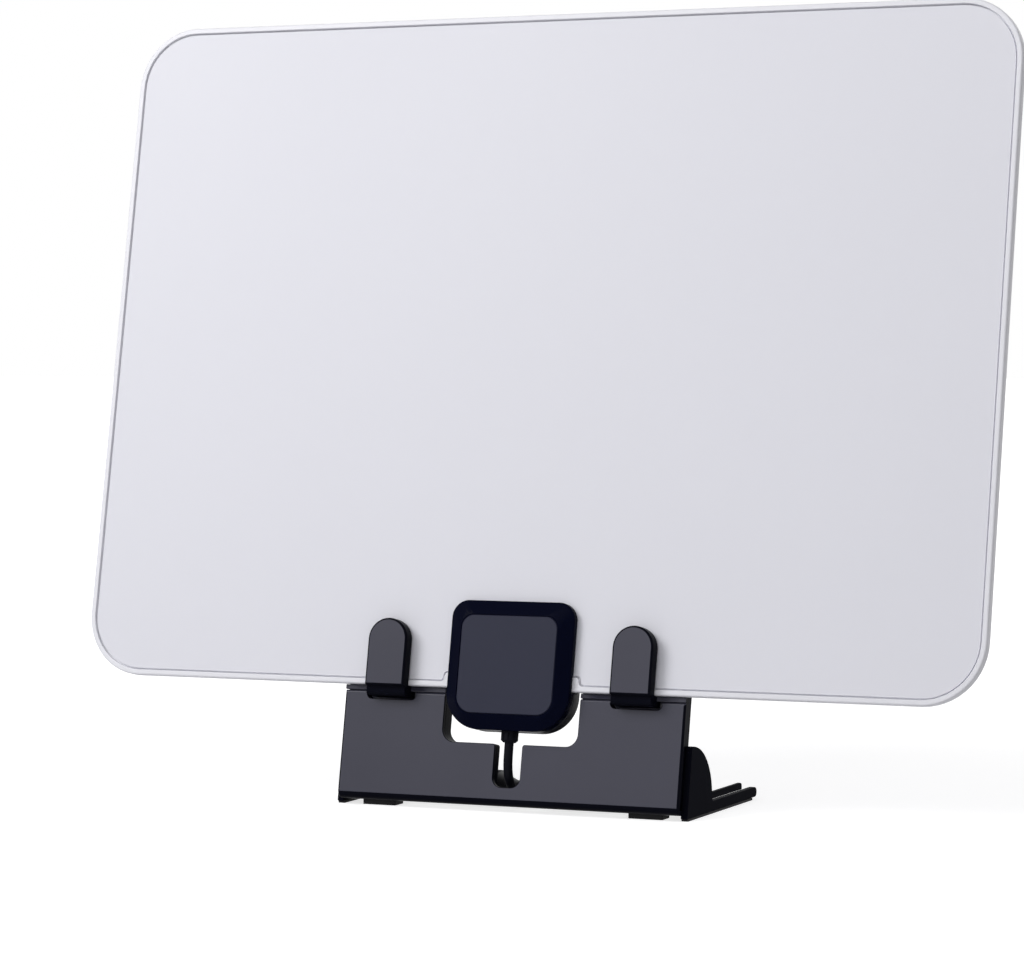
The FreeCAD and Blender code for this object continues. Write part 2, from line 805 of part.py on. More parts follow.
def make_strain_relief():
    """The fluted stub at the foot of the box, held by a flange inside its lower wall."""
    body = leaning_body("strain_relief", -size.box_below_edge, -size.relief_setback)
    wall = size.box_wall + size.relief_gap
    crown = wall + size.relief_flange_thick
    neck = -size.relief_neck
    tip = neck - size.relief_tip
    corners = [(ZERO, tip), (size.relief_tip_radius, tip), (size.relief_radius, neck),
               (size.relief_radius, wall), (size.relief_flange, wall), (size.relief_flange, crown),
               (ZERO, crown)]
    profile = outline_sketch(body, "profile", corners)
    turned = body.newObject("PartDesign::Revolution", "strain_relief_turned")
    turned.Profile = profile
    turned.ReferenceAxis = (profile, ["V_Axis"])
    doc.recompute()
    flute = circle_sketch(body, "flute", [(size.relief_radius, ZERO)], size.relief_flute, role="XZ_Plane",
                          lift=size.relief_flute)
    cut = pocket(body, flute, size.relief_neck, back=True)
    ring = body.newObject("PartDesign::PolarPattern", "strain_relief_flutes")
    ring.Originals = [cut]
    ring.Axis = (profile, ["V_Axis"])
    ring.Angle = 360
    ring.Occurrences = int(size.relief_flutes.value)
    body.Tip = ring
    doc.recompute()
    return body


def gate_outline(top, slot_low, mouth):
    """The opening round the box: a wide gate, with the cable's slot below it."""
    half = size.gate_width / 2
    slot = size.slot_width / 2
    low = -size.gate_drop
    turn = size.gate_corner
    end = size.slot_corner
    return [(-half, top), (-half, low, turn), (-slot, low, mouth), (-slot, slot_low, end),
            (slot, slot_low, end), (slot, low, mouth), (half, low, turn), (half, top)]


def window_outlines(top):
    """The two openings that the hooks come out of."""
    outlines = []
    for side in (-1, 1):
        centre = side * size.hook_spacing / 2
        left = centre - size.hook_window / 2
        right = centre + size.hook_window / 2
        low = -size.hook_window_drop
        outlines.append([(left, low, size.hook_window_corner), (right, low, size.hook_window_corner),
                         (right, top), (left, top)])
    return outlines


def make_stand_front_cover():
    """The stand's front cover: a leaning plate with a rounded lip turned back under it."""
    body = leaning_body("stand_front_cover")
    top = -size.cover_top_drop
    low = -size.cover_drop
    inside = low + size.cover_thick
    shelf = -size.leg_setback
    profile = [(top, cover_front), (top, cover_back), (inside, cover_back), (inside, shelf), (low, shelf),
               (low, cover_front, size.cover_lip)]
    pad(body, outline_sketch(body, "profile", profile, role="YZ_Plane"), cover_width, both=True)
    bevel_edges(body, size.cover_edge, "top_edge", straight_at("x", y=[top], z=[cover_front]))
    opening = gate_outline(size.cover_thick, -size.slot_drop, size.slot_mouth_corner)
    pocket(body, outline_sketch(body, "gate", opening))
    pocket(body, outline_sketch(body, "windows", *window_outlines(size.cover_thick)))
    ends = [-cover_width / 2, cover_width / 2]
    bevel_edges(body, size.cover_edge, "end_edge", straight_at("y", x=ends, z=[cover_front]))
    return body


def make_stand_rear_body():
    """The stand's rear body: a ribbed tray that backs the panel and carries the two hooks."""
    body = leaning_body("stand_rear_body")
    half = size.body_width / 2
    low = -size.cover_drop + size.cover_thick
    top = size.body_above_edge
    plate = [(-half, low), (half, low), (half, top, size.body_corner), (-half, top, size.body_corner)]
    pad(body, outline_sketch(body, "outer", plate, lift=cover_back), cover_back - rib_back, back=True)
    end = cover_width / 2
    seam = -size.cover_top_drop + size.cover_seam
    crest = -size.rail_drop
    rail = [(-end, seam), (end, seam), (end, crest), (-end, crest)]
    pad(body, outline_sketch(body, "rail", rail, lift=cover_back), size.cover_thick)
    slot_low = -size.slot_drop - size.body_slot_extra
    opening = gate_outline(top + size.body_rib, slot_low, size.slot_mouth_corner)
    pocket(body, outline_sketch(body, "gate", opening))
    rim = size.body_rib
    gate = size.gate_width / 2 + rim
    slot = size.slot_width / 2
    high = top - rim
    sill = -size.gate_drop - rim
    turn = size.body_corner - rim
    mouth = slot + rim
    edge = sill + 2 * rim
    tray = [(-half + rim, low + rim), (-slot, low + rim), (-slot, low - rim), (slot, low - rim),
            (slot, low + rim), (half - rim, low + rim), (half - rim, high, turn), (gate, high), (gate, sill),
            (mouth, sill), (mouth, edge), (-mouth, edge), (-mouth, sill), (-gate, sill), (-gate, high),
            (-half + rim, high, turn)]
    pocket(body, outline_sketch(body, "tray", tray, lift=rib_back), size.body_rib_depth, back=True)
    wells = outline_sketch(body, "hook_wells", *window_outlines(ZERO), lift=cover_back)
    pocket(body, wells, size.hook_window_depth)
    bosses = square_posts(body, "bosses", leg_screw_places((-1, 1)), size.leg_boss, rib_back)
    pad(body, bosses, size.body_rib_depth)
    add_hooks(body)
    pilots = circle_sketch(body, "pilots", leg_screw_places((-1, 1)), size.leg_screw_shank / 2,
                           lift=rib_back)
    pocket(body, pilots, size.leg_screw_bite, back=True)
    return body


def add_hooks(body):
    """The two J-shaped hooks that the panel's lower edge stands in."""
    floor = -size.hook_floor
    front = size.hook_front
    toe = front - size.hook_step
    skirt = -size.hook_skirt
    profile = [(floor, body_back), (floor, toe, size.hook_round), (skirt, toe), (skirt, front),
               (size.hook_rise, front), (size.hook_rise, size.hook_play), (ZERO, size.hook_play),
               (ZERO, body_back)]
    sides = []
    for name, side in (("left", -1), ("right", 1)):
        centre = side * size.hook_spacing / 2
        shape = outline_sketch(body, f"{name}_hook", profile, role="YZ_Plane", lift=centre)
        pad(body, shape, size.hook_width, both=True)
        sides += [centre - size.hook_width / 2, centre + size.hook_width / 2]
    full_round = size.hook_width / 2 - MATCH
    round_edges(body, full_round, "hook_tops", straight_at("z", x=sides, y=[size.hook_rise]))
    bevel_edges(body, size.hook_edge, "hook_edges", level_with("z", front))


def leg_screw_places(sides):
    """Centres of the screws that hold the legs."""
    return [(side * (size.body_width / 2 - inset), size.leg_screw_height) for side in sides
            for inset in (size.leg_screw_inner, size.leg_screw_outer)]


def make_right_leg():
    """The right leg: a gusseted floor bar, a bracket behind the stand and a longer inner prong."""
    body = new_body("right_leg")
    inner = size.body_width / 2
    outer = inner + size.leg_thick
    low = size.strip_thick
    bar_end = size.stand_depth / 2 - size.bar_short_of_rear
    crest = plate_y(-size.leg_setback, size.leg_height)
    gusset = crest + size.gusset_depth
    side = [(plate_y(-size.leg_setback, low), low), (bar_end, low, size.bar_end_round),
            (bar_end, size.bar_top, size.bar_end_round), (gusset, size.bar_top, size.bar_root_round),
            (gusset, size.leg_height, size.gusset_depth - size.gusset_crest), (crest, size.leg_height)]
    pad(body, outline_sketch(body, "side", side, role="YZ_Plane", lift=inner), size.leg_thick)
    shelf = size.foot_height
    roof = shelf + size.web_thick
    rear = plate_y(rib_back, shelf) + size.web_depth
    bracket = [(plate_y(rib_back, shelf), shelf), (rear, shelf), (rear, roof),
               (plate_y(tab_back, roof), roof),
               (lean_y(size.tab_top, tab_back), lean_z(size.tab_top, tab_back)),
               (lean_y(size.tab_top, rib_back), lean_z(size.tab_top, rib_back))]
    behind = outline_sketch(body, "bracket", bracket, role="YZ_Plane", lift=inner)
    pad(body, behind, size.web_length, back=True)
    root = rear - size.prong_root
    tip = size.stand_depth / 2
    prong = [(root, ZERO), (tip, ZERO), (tip, size.prong_height, size.prong_end_round),
             (root + size.prong_taper, size.prong_height), (rear, roof), (root, roof)]
    inboard = outline_sketch(body, "prong", prong, role="YZ_Plane", lift=outer - size.prong_inset)
    pad(body, inboard, size.prong_thick, both=True)
    drill_leg(body)
    return body


def drill_leg(body):
    """Cuts the screw holes through the leaning tab, square to the stand."""
    holes = []
    for across, up in leg_screw_places((1,)):
        start = Vector(across.value, lean_y(up, tab_back).value, lean_z(up, tab_back).value)
        holes.append((across, up, start))
    for number, (across, up, start) in enumerate(holes):
        sketch = body.newObject("Sketcher::SketchObject", f"right_leg_hole_{number}")
        sketch.AttachmentSupport = [(origin_plane(body, "XY_Plane"), "")]
        sketch.MapMode = "FlatFace"
        sketch.AttachmentOffset = Placement(start, Rotation(Vector(1, 0, 0), tilt.value))
        bind(sketch, "AttachmentOffset.Base.x", across)
        bind(sketch, "AttachmentOffset.Base.y", lean_y(up, tab_back))
        bind(sketch, "AttachmentOffset.Base.z", lean_z(up, tab_back))
        radius = size.leg_screw_shank / 2 + size.screw_gap
        circle = sketch.addGeometry(Part.Circle(Vector(0, 0, 0), Vector(0, 0, 1), radius.value), False)
        pin_point(sketch, circle, 3, ZERO, ZERO)
        index = sketch.addConstraint(Sketcher.Constraint("Radius", circle, radius.value))
        sketch.setExpression(f"Constraints[{index}]", radius.formula)
        pocket(body, sketch, 2 * (size.tab_thick + size.screw_gap), both=True)


def make_right_front_foot():
    """The rubber block under the right leg's bracket."""
    body = new_body("right_front_foot")
    front = plate_y(rib_back, size.foot_height) + size.foot_edge - size.foot_lead
    rear = front + size.foot_depth
    centre = size.body_width / 2 - size.foot_inset
    left = centre - size.foot_width / 2
    right = centre + size.foot_width / 2
    shape = [(left, front), (right, front), (right, rear), (left, rear)]
    pad(body, outline_sketch(body, "outer", shape), size.foot_height)
    round_edges(body, size.foot_edge, "corners", straight_at("z", x=[left, right], y=[front, rear]))
    return body


def make_right_leg_strip():
    """The rubber strip under the right leg's floor bar."""
    body = new_body("right_leg_strip")
    inner = size.body_width / 2
    front = plate_y(-size.leg_setback, size.strip_thick) + size.strip_inset
    rear = size.stand_depth / 2 - size.bar_short_of_rear - size.strip_short_of_end
    outer = inner + size.leg_thick
    shape = [(inner, front), (outer, front), (outer, rear), (inner, rear)]
    pad(body, outline_sketch(body, "outer", shape), size.strip_thick)
    return body


def mirrored(source, name):
    """The left-hand twin of a right-hand piece."""
    twin = doc.addObject("Part::Mirroring", name)
    twin.Label = name
    twin.Source = source
    twin.Base = Vector(0, 0, 0)
    twin.Normal = Vector(1, 0, 0)
    doc.recompute()
    return twin


def cord_path(points):
    """Straight runs joined by arcs, each as large as its two runs allow; prints the arcs' radii."""
    radii = []
    edges = []
    start = points[0]
    for before, corner, after in zip(points, points[1:], points[2:]):
        towards = (corner - before).normalize()
        onwards = (after - corner).normalize()
        half_turn = towards.getAngle(onwards) / 2
        reach = ARC_SHARE * min((corner - before).Length, (after - corner).Length)
        radii.append(round(reach / math.tan(half_turn), 1))
        enter = corner - towards * reach
        leave = corner + onwards * reach
        inward = (onwards - towards).normalize()
        radius = reach / math.tan(half_turn)
        middle = corner + inward * (radius / math.cos(half_turn) - radius)
        edges.append(Part.LineSegment(start, enter).toShape())
        edges.append(Part.Arc(enter, middle, leave).toShape())
        start = leave
    edges.append(Part.LineSegment(start, points[-1]).toShape())
    print("cord radii", radii)
    return Part.Wire(edges)


def make_cord(name, points):
    """A length of the cable as a plain tube."""
    path = cord_path(points)
    radius = size.cable_width.value / 2
    section = Part.Wire([Part.Circle(points[0], points[1] - points[0], radius).toShape()])
    tube = doc.addObject("Part::Feature", name)
    tube.Label = name
    tube.Shape = path.makePipeShell([section], True, False)
    wanted = math.pi * radius ** 2 * path.Length
    if abs(tube.Shape.Volume / wanted - 1) > MATCH:
        raise RuntimeError(f"{name} has the wrong volume")
    print(name, "length", round(path.Length, 1))
    return tube


def cable_exit():
    """Where the cable leaves the strain relief."""
    up = -size.box_below_edge - size.relief_neck - size.relief_tip
    out = -size.relief_setback
    return Vector(0, lean_y(up, out).value, lean_z(up, out).value)


def make_coax_cable():
    """The cable from the box, down through the slot and back to the coil."""
    start = cable_exit()
    below = Vector(0, -SINE.value, -COSINE.value) * size.cable_exit_run.value
    lead_height = (size.coil_lift + size.cable_width / 2).value
    lead_x = (size.coil_x - size.coil_outer_turn).value
    stop = Vector(lead_x, (size.coil_y - size.coil_lead_in).value, lead_height)
    way = stop - start
    points = [start, start + below]
    for aside, back, down in CABLE_FALL:
        points.append(start + Vector(aside * way.x, back * way.y, down * way.z))
    return make_cord("coax_cable", points + [stop])


def coil_lead_out():
    """Where the last turn leaves the coil."""
    height = size.coil_lift + size.cable_width / 2 + size.coil_pitch
    across = size.coil_x - size.coil_lead_out
    back = size.coil_y - size.coil_outer_turn
    return Vector(across.value, back.value, height.value)


def make_plug_lead():
    """The end of the cable, from the coil to the plug."""
    start = coil_lead_out()
    climb = size.plug_grip_radius.value - start.z
    run = size.lead_run.value
    points = [start]
    for aside, back, up in PLUG_LEAD:
        points.append(start + Vector(aside * run, back * run, up * climb))
    return make_cord("plug_lead", points), points


def make_cable_coil():
    """The outer shape of the coiled length, with the two stubs where the cable joins it."""
    body = new_body("cable_coil")
    middle = Vector(size.coil_x.value, size.coil_y.value, size.coil_lift.value)
    body.Placement = Placement(middle, Rotation())
    bind(body, "Placement.Base.x", size.coil_x)
    bind(body, "Placement.Base.y", size.coil_y)
    bind(body, "Placement.Base.z", size.coil_lift)
    outer = size.coil_outer_turn + size.coil_pitch / 2
    inner = outer - size.coil_columns * size.coil_pitch
    top = size.coil_rows * size.coil_pitch
    section = outline_sketch(body, "section", [(inner, ZERO), (outer, ZERO), (outer, top), (inner, top)],
                             role="XZ_Plane")
    ring = body.newObject("PartDesign::Revolution", "cable_coil_ring")
    ring.Profile = section
    ring.ReferenceAxis = (section, ["V_Axis"])
    doc.recompute()
    radius = size.cable_width / 2
    lead_in = circle_sketch(body, "lead_in", [(-size.coil_outer_turn, radius)], radius, role="XZ_Plane")
    pad(body, lead_in, size.coil_lead_in)
    lead_out = circle_sketch(body, "lead_out", [(-size.coil_outer_turn, radius + size.coil_pitch)], radius,
                             role="YZ_Plane")
    pad(body, lead_out, size.coil_lead_out, back=True)
    return body


def make_cable_tie():
    """The flat strap round the coil's bundle."""
    body = new_body("cable_tie")
    body.Placement = Placement(Vector(size.coil_x.value, size.coil_y.value, 0), Rotation())
    bind(body, "Placement.Base.x", size.coil_x)
    bind(body, "Placement.Base.y", size.coil_y)
    outer = size.coil_outer_turn + size.coil_pitch / 2 + size.tie_gap
    bundle = size.coil_columns * size.coil_pitch
    inner = size.coil_outer_turn + size.coil_pitch / 2 - bundle - size.tie_inner_gap
    low = size.coil_lift - size.tie_gap
    top = size.coil_lift + size.coil_rows * size.coil_pitch + size.tie_gap
    thick = size.tie_thick
    hole = [(inner, low), (outer, low), (outer, top), (inner, top)]
    skin = [(inner - thick, low - thick, thick), (outer + thick, low - thick, thick),
            (outer + thick, top + thick, thick), (inner - thick, top + thick, thick)]
    pad(body, outline_sketch(body, "strap", skin, hole, role="XZ_Plane"), size.tie_width, both=True)
    return body


def make_plug(points):
    """The coaxial plug: moulded grip, metal shell, insulator and centre pin, on the cable's axis."""
    heading = (points[-1] - points[-2]).normalize()
    frame = Placement(points[-1], Rotation(Vector(0, 1, 0), heading))
    length = size.plug_grip_length
    seat = length - size.plug_seat_depth
    mouth = length + size.plug_shell_length
    tip = mouth + size.plug_pin_proud
    spigot = size.plug_seat_radius - size.plug_gap
    bore = size.plug_shell_bore
    pin = size.plug_pin_radius
    profiles = {
        "plug_grip": [(ZERO, ZERO), (size.plug_grip_neck, ZERO),
                      (size.plug_grip_radius, size.plug_grip_taper), (size.plug_grip_radius, length),
                      (size.plug_seat_radius, length), (size.plug_seat_radius, seat), (ZERO, seat)],
        "plug_shell": [(bore, seat), (spigot, seat), (spigot, length), (size.plug_shell_radius, length),
                       (size.plug_shell_radius, mouth), (bore, mouth)],
        "plug_insulator": [(pin + size.plug_gap, seat), (bore - size.plug_gap, seat),
                           (bore - size.plug_gap, seat + size.plug_insulator_length),
                           (pin + size.plug_gap, seat + size.plug_insulator_length)],
        "plug_pin": [(ZERO, seat), (pin, seat), (pin, tip), (ZERO, tip)],
    }
    pieces = []
    for name, corners in profiles.items():
        body = new_body(name)
        profile = outline_sketch(body, "profile", corners)
        turned = body.newObject("PartDesign::Revolution", f"{name}_turned")
        turned.Profile = profile
        turned.ReferenceAxis = (profile, ["V_Axis"])
        body.Placement = frame
        doc.recompute()
        pieces.append(body)
    return pieces


pieces = [make_panel_rim(), make_front_sheet(), make_rear_sheet(), make_antenna_film(),
          make_radiator("left_radiator", -1), make_radiator("right_radiator", 1),
          make_box_front_cover(), make_box_face_plate(), make_box_rear_cover(), make_circuit_board(),
          make_balun_core(), make_strain_relief(), make_stand_front_cover(), make_stand_rear_body()]
pieces.append(make_screws("box_screws", box_screw_places(), -size.box_rear + size.box_screw_sink,
                          size.box_screw_head, size.box_screw_head_thick, size.box_screw_shank,
                          size.box_rear - size.box_screw_sink + split + size.box_screw_bite))
for right, left_name in ((make_right_leg(), "left_leg"), (make_right_front_foot(), "left_front_foot"),
                         (make_right_leg_strip(), "left_leg_strip")):
    pieces += [right, mirrored(right, left_name)]
pieces.append(make_screws("leg_screws", leg_screw_places((-1, 1)), tab_back, size.leg_screw_head,
                          size.leg_screw_head_thick, size.leg_screw_shank,
                          size.tab_thick + size.leg_screw_bite))
plug_lead, plug_points = make_plug_lead()
pieces += [make_coax_cable(), make_cable_coil(), make_cable_tie(), plug_lead]
pieces += make_plug(plug_points)
doc.recompute()

for thing in doc.Objects:
    if "Invalid" in thing.State or "Error" in thing.State:
        raise RuntimeError(f"{thing.Label} failed: {thing.State}")
for piece in pieces:
    if piece.Shape.isNull() or not piece.Shape.isValid() or not piece.Shape.Solids:
        raise RuntimeError(f"{piece.Label} has no valid solid")

os.makedirs("parts", exist_ok=True)
for piece in pieces:
    piece.Shape.exportStep(f"parts/{piece.Label}.step")
print(len(pieces), "pieces")
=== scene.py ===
"""Looks of a flat indoor antenna in its hooked table stand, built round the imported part."""
import json
import math

import bmesh
import bpy
from bpy.props import FloatProperty, FloatVectorProperty, IntProperty, PointerProperty
from mathutils import Matrix, Vector


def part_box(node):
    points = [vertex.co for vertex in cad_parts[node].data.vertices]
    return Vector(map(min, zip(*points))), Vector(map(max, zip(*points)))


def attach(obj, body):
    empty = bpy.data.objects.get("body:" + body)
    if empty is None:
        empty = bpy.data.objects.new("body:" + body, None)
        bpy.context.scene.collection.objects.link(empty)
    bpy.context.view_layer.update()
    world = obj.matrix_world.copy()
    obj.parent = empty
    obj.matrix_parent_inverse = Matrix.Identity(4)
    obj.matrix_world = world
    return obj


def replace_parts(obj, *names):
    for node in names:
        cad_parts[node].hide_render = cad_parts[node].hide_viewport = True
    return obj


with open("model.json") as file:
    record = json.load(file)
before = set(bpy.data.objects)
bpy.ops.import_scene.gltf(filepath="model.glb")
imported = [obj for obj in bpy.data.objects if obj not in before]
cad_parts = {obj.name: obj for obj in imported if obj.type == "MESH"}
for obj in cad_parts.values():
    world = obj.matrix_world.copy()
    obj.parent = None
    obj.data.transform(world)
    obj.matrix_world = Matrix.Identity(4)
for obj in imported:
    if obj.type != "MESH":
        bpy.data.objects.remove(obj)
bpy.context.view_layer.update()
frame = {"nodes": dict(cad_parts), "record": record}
NODES = frame["nodes"]
BODY = "root"
MM = 0.001

bl_info = {
    "name": "Indoor antenna looks",
    "version": (1, 0, 0),
    "blender": (4, 5, 0),
    "location": "3D View > Sidebar > Antenna",
    "description": "Dresses a packed indoor antenna: finishes, cable, plug, screws and a studio stage",
    "category": "Object",
}

# The leaning frame: X to the right, Y up the panel from its lower edge, Z out of its front
LEAN = math.radians(11.6)
LEAN_FRAME = Matrix.Translation((0, -34.979 * MM, 37.34 * MM)) @ Matrix.Rotation(math.pi / 2 - LEAN, 4, "X")

# The cable's route, in millimetres: down from the box, then the coil, then the plug
CABLE_FALL = ((0, -35.845, 21.184), (0, -36.529, 17.854), (-0.27, -36.5, 13.7), (-0.495, -35.2, 9.6),
              (-0.27, -32.4, 6.0), (0.36, -28.3, 3.5), (0.9, -23.6, 2.2), (0.9, -18.6, 2.2))
PLUG_LEAD = ((9.2, -21.9, 5.05), (5.2, -21.9, 5.05), (1.1, -21.5, 5.2), (-3.5, -20.5, 5.2))
PLUG_HEADING = Vector((-1.15, 0.25, 0)).normalized()
COIL_CENTRE = Vector((20.2, -2.6, 2.2))
# Cells of the coil's section in the order they are wound: column from outside, row from below
COIL_CELLS = ((0, 0), (1, 0), (2, 0), (3, 0), (3, 1), (3, 2), (3, 3), (2, 3), (2, 2), (2, 1), (1, 1), (1, 2),
              (1, 3), (0, 3), (0, 2), (0, 1))
COIL_TURNS = 14.75
# A turn changes cells over this many shares of a turn, one share for each change
CHANGE_SHARES = 3
# The cable's line: degree plus one, steps between points, and sides in a quarter of its section
CABLE_ORDER = 3
CABLE_STEPS = 3
CABLE_SIDES = 4

# The plug's grip, in millimetres: its collar, the socket for the shell, and where the ribs run
GRIP_RADIUS = 5.2
GRIP_SOCKET = 4.52
GRIP_SIDES = 64
RIB_START = 7.2
RIB_LENGTH = 9.6
RIB_SIDES = 10
# The tie's buckle and tail, in millimetres, from the top of the strap
TIE_SHIFT = 1.5
TIE_EDGE = 0.3
BUCKLE_LENGTH = 4.6
BUCKLE_HEIGHT = 3.0
BUCKLE_RISE = 1.3
SLOT_SIZE = (3.0, 2.6, 3.3)
TAIL_SIZE = (0.8, 3.6, 6.0)
TAIL_PLACE = (-1.2, 0, 4.6)
TAIL_LEAN = -0.45

# Rows of screws in the leaning frame, in millimetres: the seat of each head, counted outwards on both sides
BOX_SCREWS = {"Count": 1, "Inner": 13.0, "Pitch": 0.0, "Up": 4.0, "Seat": -6.1}
LEG_SCREWS = {"Count": 2, "Inner": 42.0, "Pitch": 9.0, "Up": -23.5, "Seat": -10.7}
# One screw of each set, in millimetres: thickness of the head, radius and length of the shank
BOX_SCREW = {"thick": 1.1, "shank": 1.0, "length": 6.0}
LEG_SCREW = {"thick": 1.6, "shank": 1.2, "length": 4.9}
# Shares of the head's radius and thickness: the cross's arms and floor, then the crown from its flat top down
CROSS_ARM = 0.56
CROSS_FLOOR = 0.55
CROSS_STEPS = 6
CROWN = ((0.7, 1.0), (0.86, 0.85), (1.0, 0.55))

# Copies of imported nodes: points nearer than MERGE are one, faces nearer in angle than FLAT are one
MERGE = 0.005 * MM
FLAT = math.radians(0.4)
# Their outer edges over SHARP are rounded, unless a face of LAND_SIDES or more sides is too narrow for it
SHARP = math.radians(28)
LAND_SIDES = 7
LAND_ROOM = 1.3
WELD = 0.004 * MM
ROUND_STEPS = 2
# Edges over these angles stay sharp in the shading of other pieces, in degrees
CREASE = 32.0
SMALL_CREASE = 40.0
# The stand's faces keep the satin finish where they look forwards by FACE_STEEP at least, or by SEAM_STEEP at the
# cover's upper seam, which lies up to SEAM_REACH below the panel's lower edge; all others get painted shade, as do the
# hooks' floors in front of the panel below HOOK_START, where the hooks' faces start, in millimetres
FACE_STEEP = 0.985
SEAM_STEEP = 0.3
SEAM_REACH = 2.6
HOOK_START = 0.3

# The camera at the photograph's viewing angle, in metres
CAMERA_PLACE = (0.4835, -1.0858, 0.1552)
CAMERA_RIGHT = Vector((0.9089, 0.4170, -0.0062))
CAMERA_UP = Vector((-0.0135, 0.0445, 0.9989))
SENSOR_WIDTH = 36.0
# The lamps, each with the name of its power setting, its width and its place, in metres
LAMPS = (("key", 0.8, (-0.85, -0.95, 0.95)), ("fill", 1.2, (-0.15, -1.3, 1.3)),
         ("low", 0.6, (0.1, -1.25, 0.12)), ("rear", 1.2, (0.5, 1.5, 1.2)))
LAMP_AIM = Vector((0, 0, 0.1))
# The floor's half width in metres, and how its white grows from the object outwards
FLOOR_REACH = 6.0
FLOOR_WHITE = {"From Min": 0.12, "From Max": 0.55, "To Min": 0.72, "To Max": 1.0}


class CableSettings(bpy.types.PropertyGroup):
    """Sizes of the cable."""
    width: FloatProperty(name="Width", description="Outside width of the cable", default=2.8 * MM, unit="LENGTH")
    length: FloatProperty(name="Length", description="Length from the box to the plug", default=1.46, unit="LENGTH")
    coil_radius: FloatProperty(name="Coil radius", description="Middle of the outermost turn",
                               default=19.3 * MM, unit="LENGTH")
    coil_pitch: FloatProperty(name="Coil pitch", description="From one turn to the next", default=2.85 * MM,
                              unit="LENGTH")
    coil_points: IntProperty(name="Points", description="Points of the line in each turn", default=24, min=12)


class FinishSettings(bpy.types.PropertyGroup):
    """Colours of the visible finishes."""
    panel: FloatVectorProperty(name="Panel", description="Satin sheet", subtype="COLOR", size=3,
                               default=(0.74, 0.74, 0.80))
    rim: FloatVectorProperty(name="Rim", description="Moulded frame", subtype="COLOR", size=3,
                             default=(0.80, 0.80, 0.85))
    stand: FloatVectorProperty(name="Stand", description="Satin stand moulding", subtype="COLOR", size=3,
                               default=(0.0335, 0.0335, 0.0525))
    # Painted shade: this darker colour goes on the stand's faces that don't look forwards
    side: FloatVectorProperty(name="Stand sides", description="Smooth sides of the stand", subtype="COLOR", size=3,
                              default=(0.0038, 0.0041, 0.008))
    leg: FloatVectorProperty(name="Legs", description="Leg moulding", subtype="COLOR", size=3,
                             default=(0.0042, 0.0045, 0.0085))
    box: FloatVectorProperty(name="Box", description="Polished box", subtype="COLOR", size=3,
                             default=(0.0016, 0.0024, 0.0105))
    box_face: FloatVectorProperty(name="Box face", description="Satin face of the box", subtype="COLOR", size=3,
                                  default=(0.0155, 0.0172, 0.0365))
    cable: FloatVectorProperty(name="Cable", description="Cable jacket", subtype="COLOR", size=3,
                               default=(0.003, 0.0032, 0.006))
    rubber: FloatVectorProperty(name="Rubber", description="Feet", subtype="COLOR", size=3,
                                default=(0.006, 0.006, 0.007))


class ScrewSettings(bpy.types.PropertyGroup):
    """Sizes of the screws."""
    box_head: FloatProperty(name="Box head", description="Radius of the box screws' heads", default=1.8 * MM,
                            unit="LENGTH")
    leg_head: FloatProperty(name="Leg head", description="Radius of the leg screws' heads", default=2.3 * MM,
                            unit="LENGTH")
    recess: FloatProperty(name="Recess", description="Width of the cross as a share of the head's radius",
                          default=0.28, subtype="FACTOR")


class PlugSettings(bpy.types.PropertyGroup):
    """Sizes of the plug's grip and of the tie."""
    ribs: IntProperty(name="Ribs", description="Ribs round the grip", default=26, min=6)
    rib_width: FloatProperty(name="Rib width", description="Width of one rib", default=0.62 * MM, unit="LENGTH")
    rib_height: FloatProperty(name="Rib height", description="How far a rib stands out", default=0.3 * MM,
                              unit="LENGTH")
    tie_head: FloatProperty(name="Tie head", description="Width of the tie's head", default=5.4 * MM,
                            unit="LENGTH")


class EdgeSettings(bpy.types.PropertyGroup):
    """Edge rounding of the moulded pieces."""
    stand: FloatProperty(name="Stand", description="Rounding of the stand's edges", default=0.2 * MM, unit="LENGTH")
    box: FloatProperty(name="Box", description="Rounding of the box's edges", default=0.32 * MM, unit="LENGTH")
    leg: FloatProperty(name="Legs", description="Rounding of the legs' edges", default=0.3 * MM, unit="LENGTH")
    rim: FloatProperty(name="Rim", description="Rounding of the rim's edges", default=0.22 * MM, unit="LENGTH")


class StageSettings(bpy.types.PropertyGroup):
    """Light and camera."""
    lens: FloatProperty(name="Lens", description="Focal length", default=134.05, subtype="DISTANCE_CAMERA")
    key: FloatProperty(name="Key", description="Power of the key light", default=11.0, unit="POWER")
    fill: FloatProperty(name="Fill", description="Power of the fill light", default=5.5, unit="POWER")
    low: FloatProperty(name="Low", description="Power of the low front light", default=1.2, unit="POWER")
    rear: FloatProperty(name="Rear", description="Power of the rear light", default=4.0, unit="POWER")
    sky: FloatProperty(name="Sky", description="Strength of the even light", default=0.3)


def add_node(tree, kind, **values):
    """A node with its sockets or properties set by name."""
    node = tree.nodes.new(kind)
    for name, value in values.items():
        if name in node.inputs:
            node.inputs[name].default_value = value
        else:
            setattr(node, name, value)
    return node


def new_group(name, inputs, outputs):
    """An empty shader group with number sockets."""
    group = bpy.data.node_groups.new(name, "ShaderNodeTree")
    for label, default in inputs:
        kind = "NodeSocketColor" if isinstance(default, tuple) else "NodeSocketFloat"
        socket = group.interface.new_socket(label, in_out="INPUT", socket_type=kind)
        socket.default_value = default
    for label, kind in outputs:
        group.interface.new_socket(label, in_out="OUTPUT", socket_type=kind)
    return group, group.nodes.new("NodeGroupInput"), group.nodes.new("NodeGroupOutput")


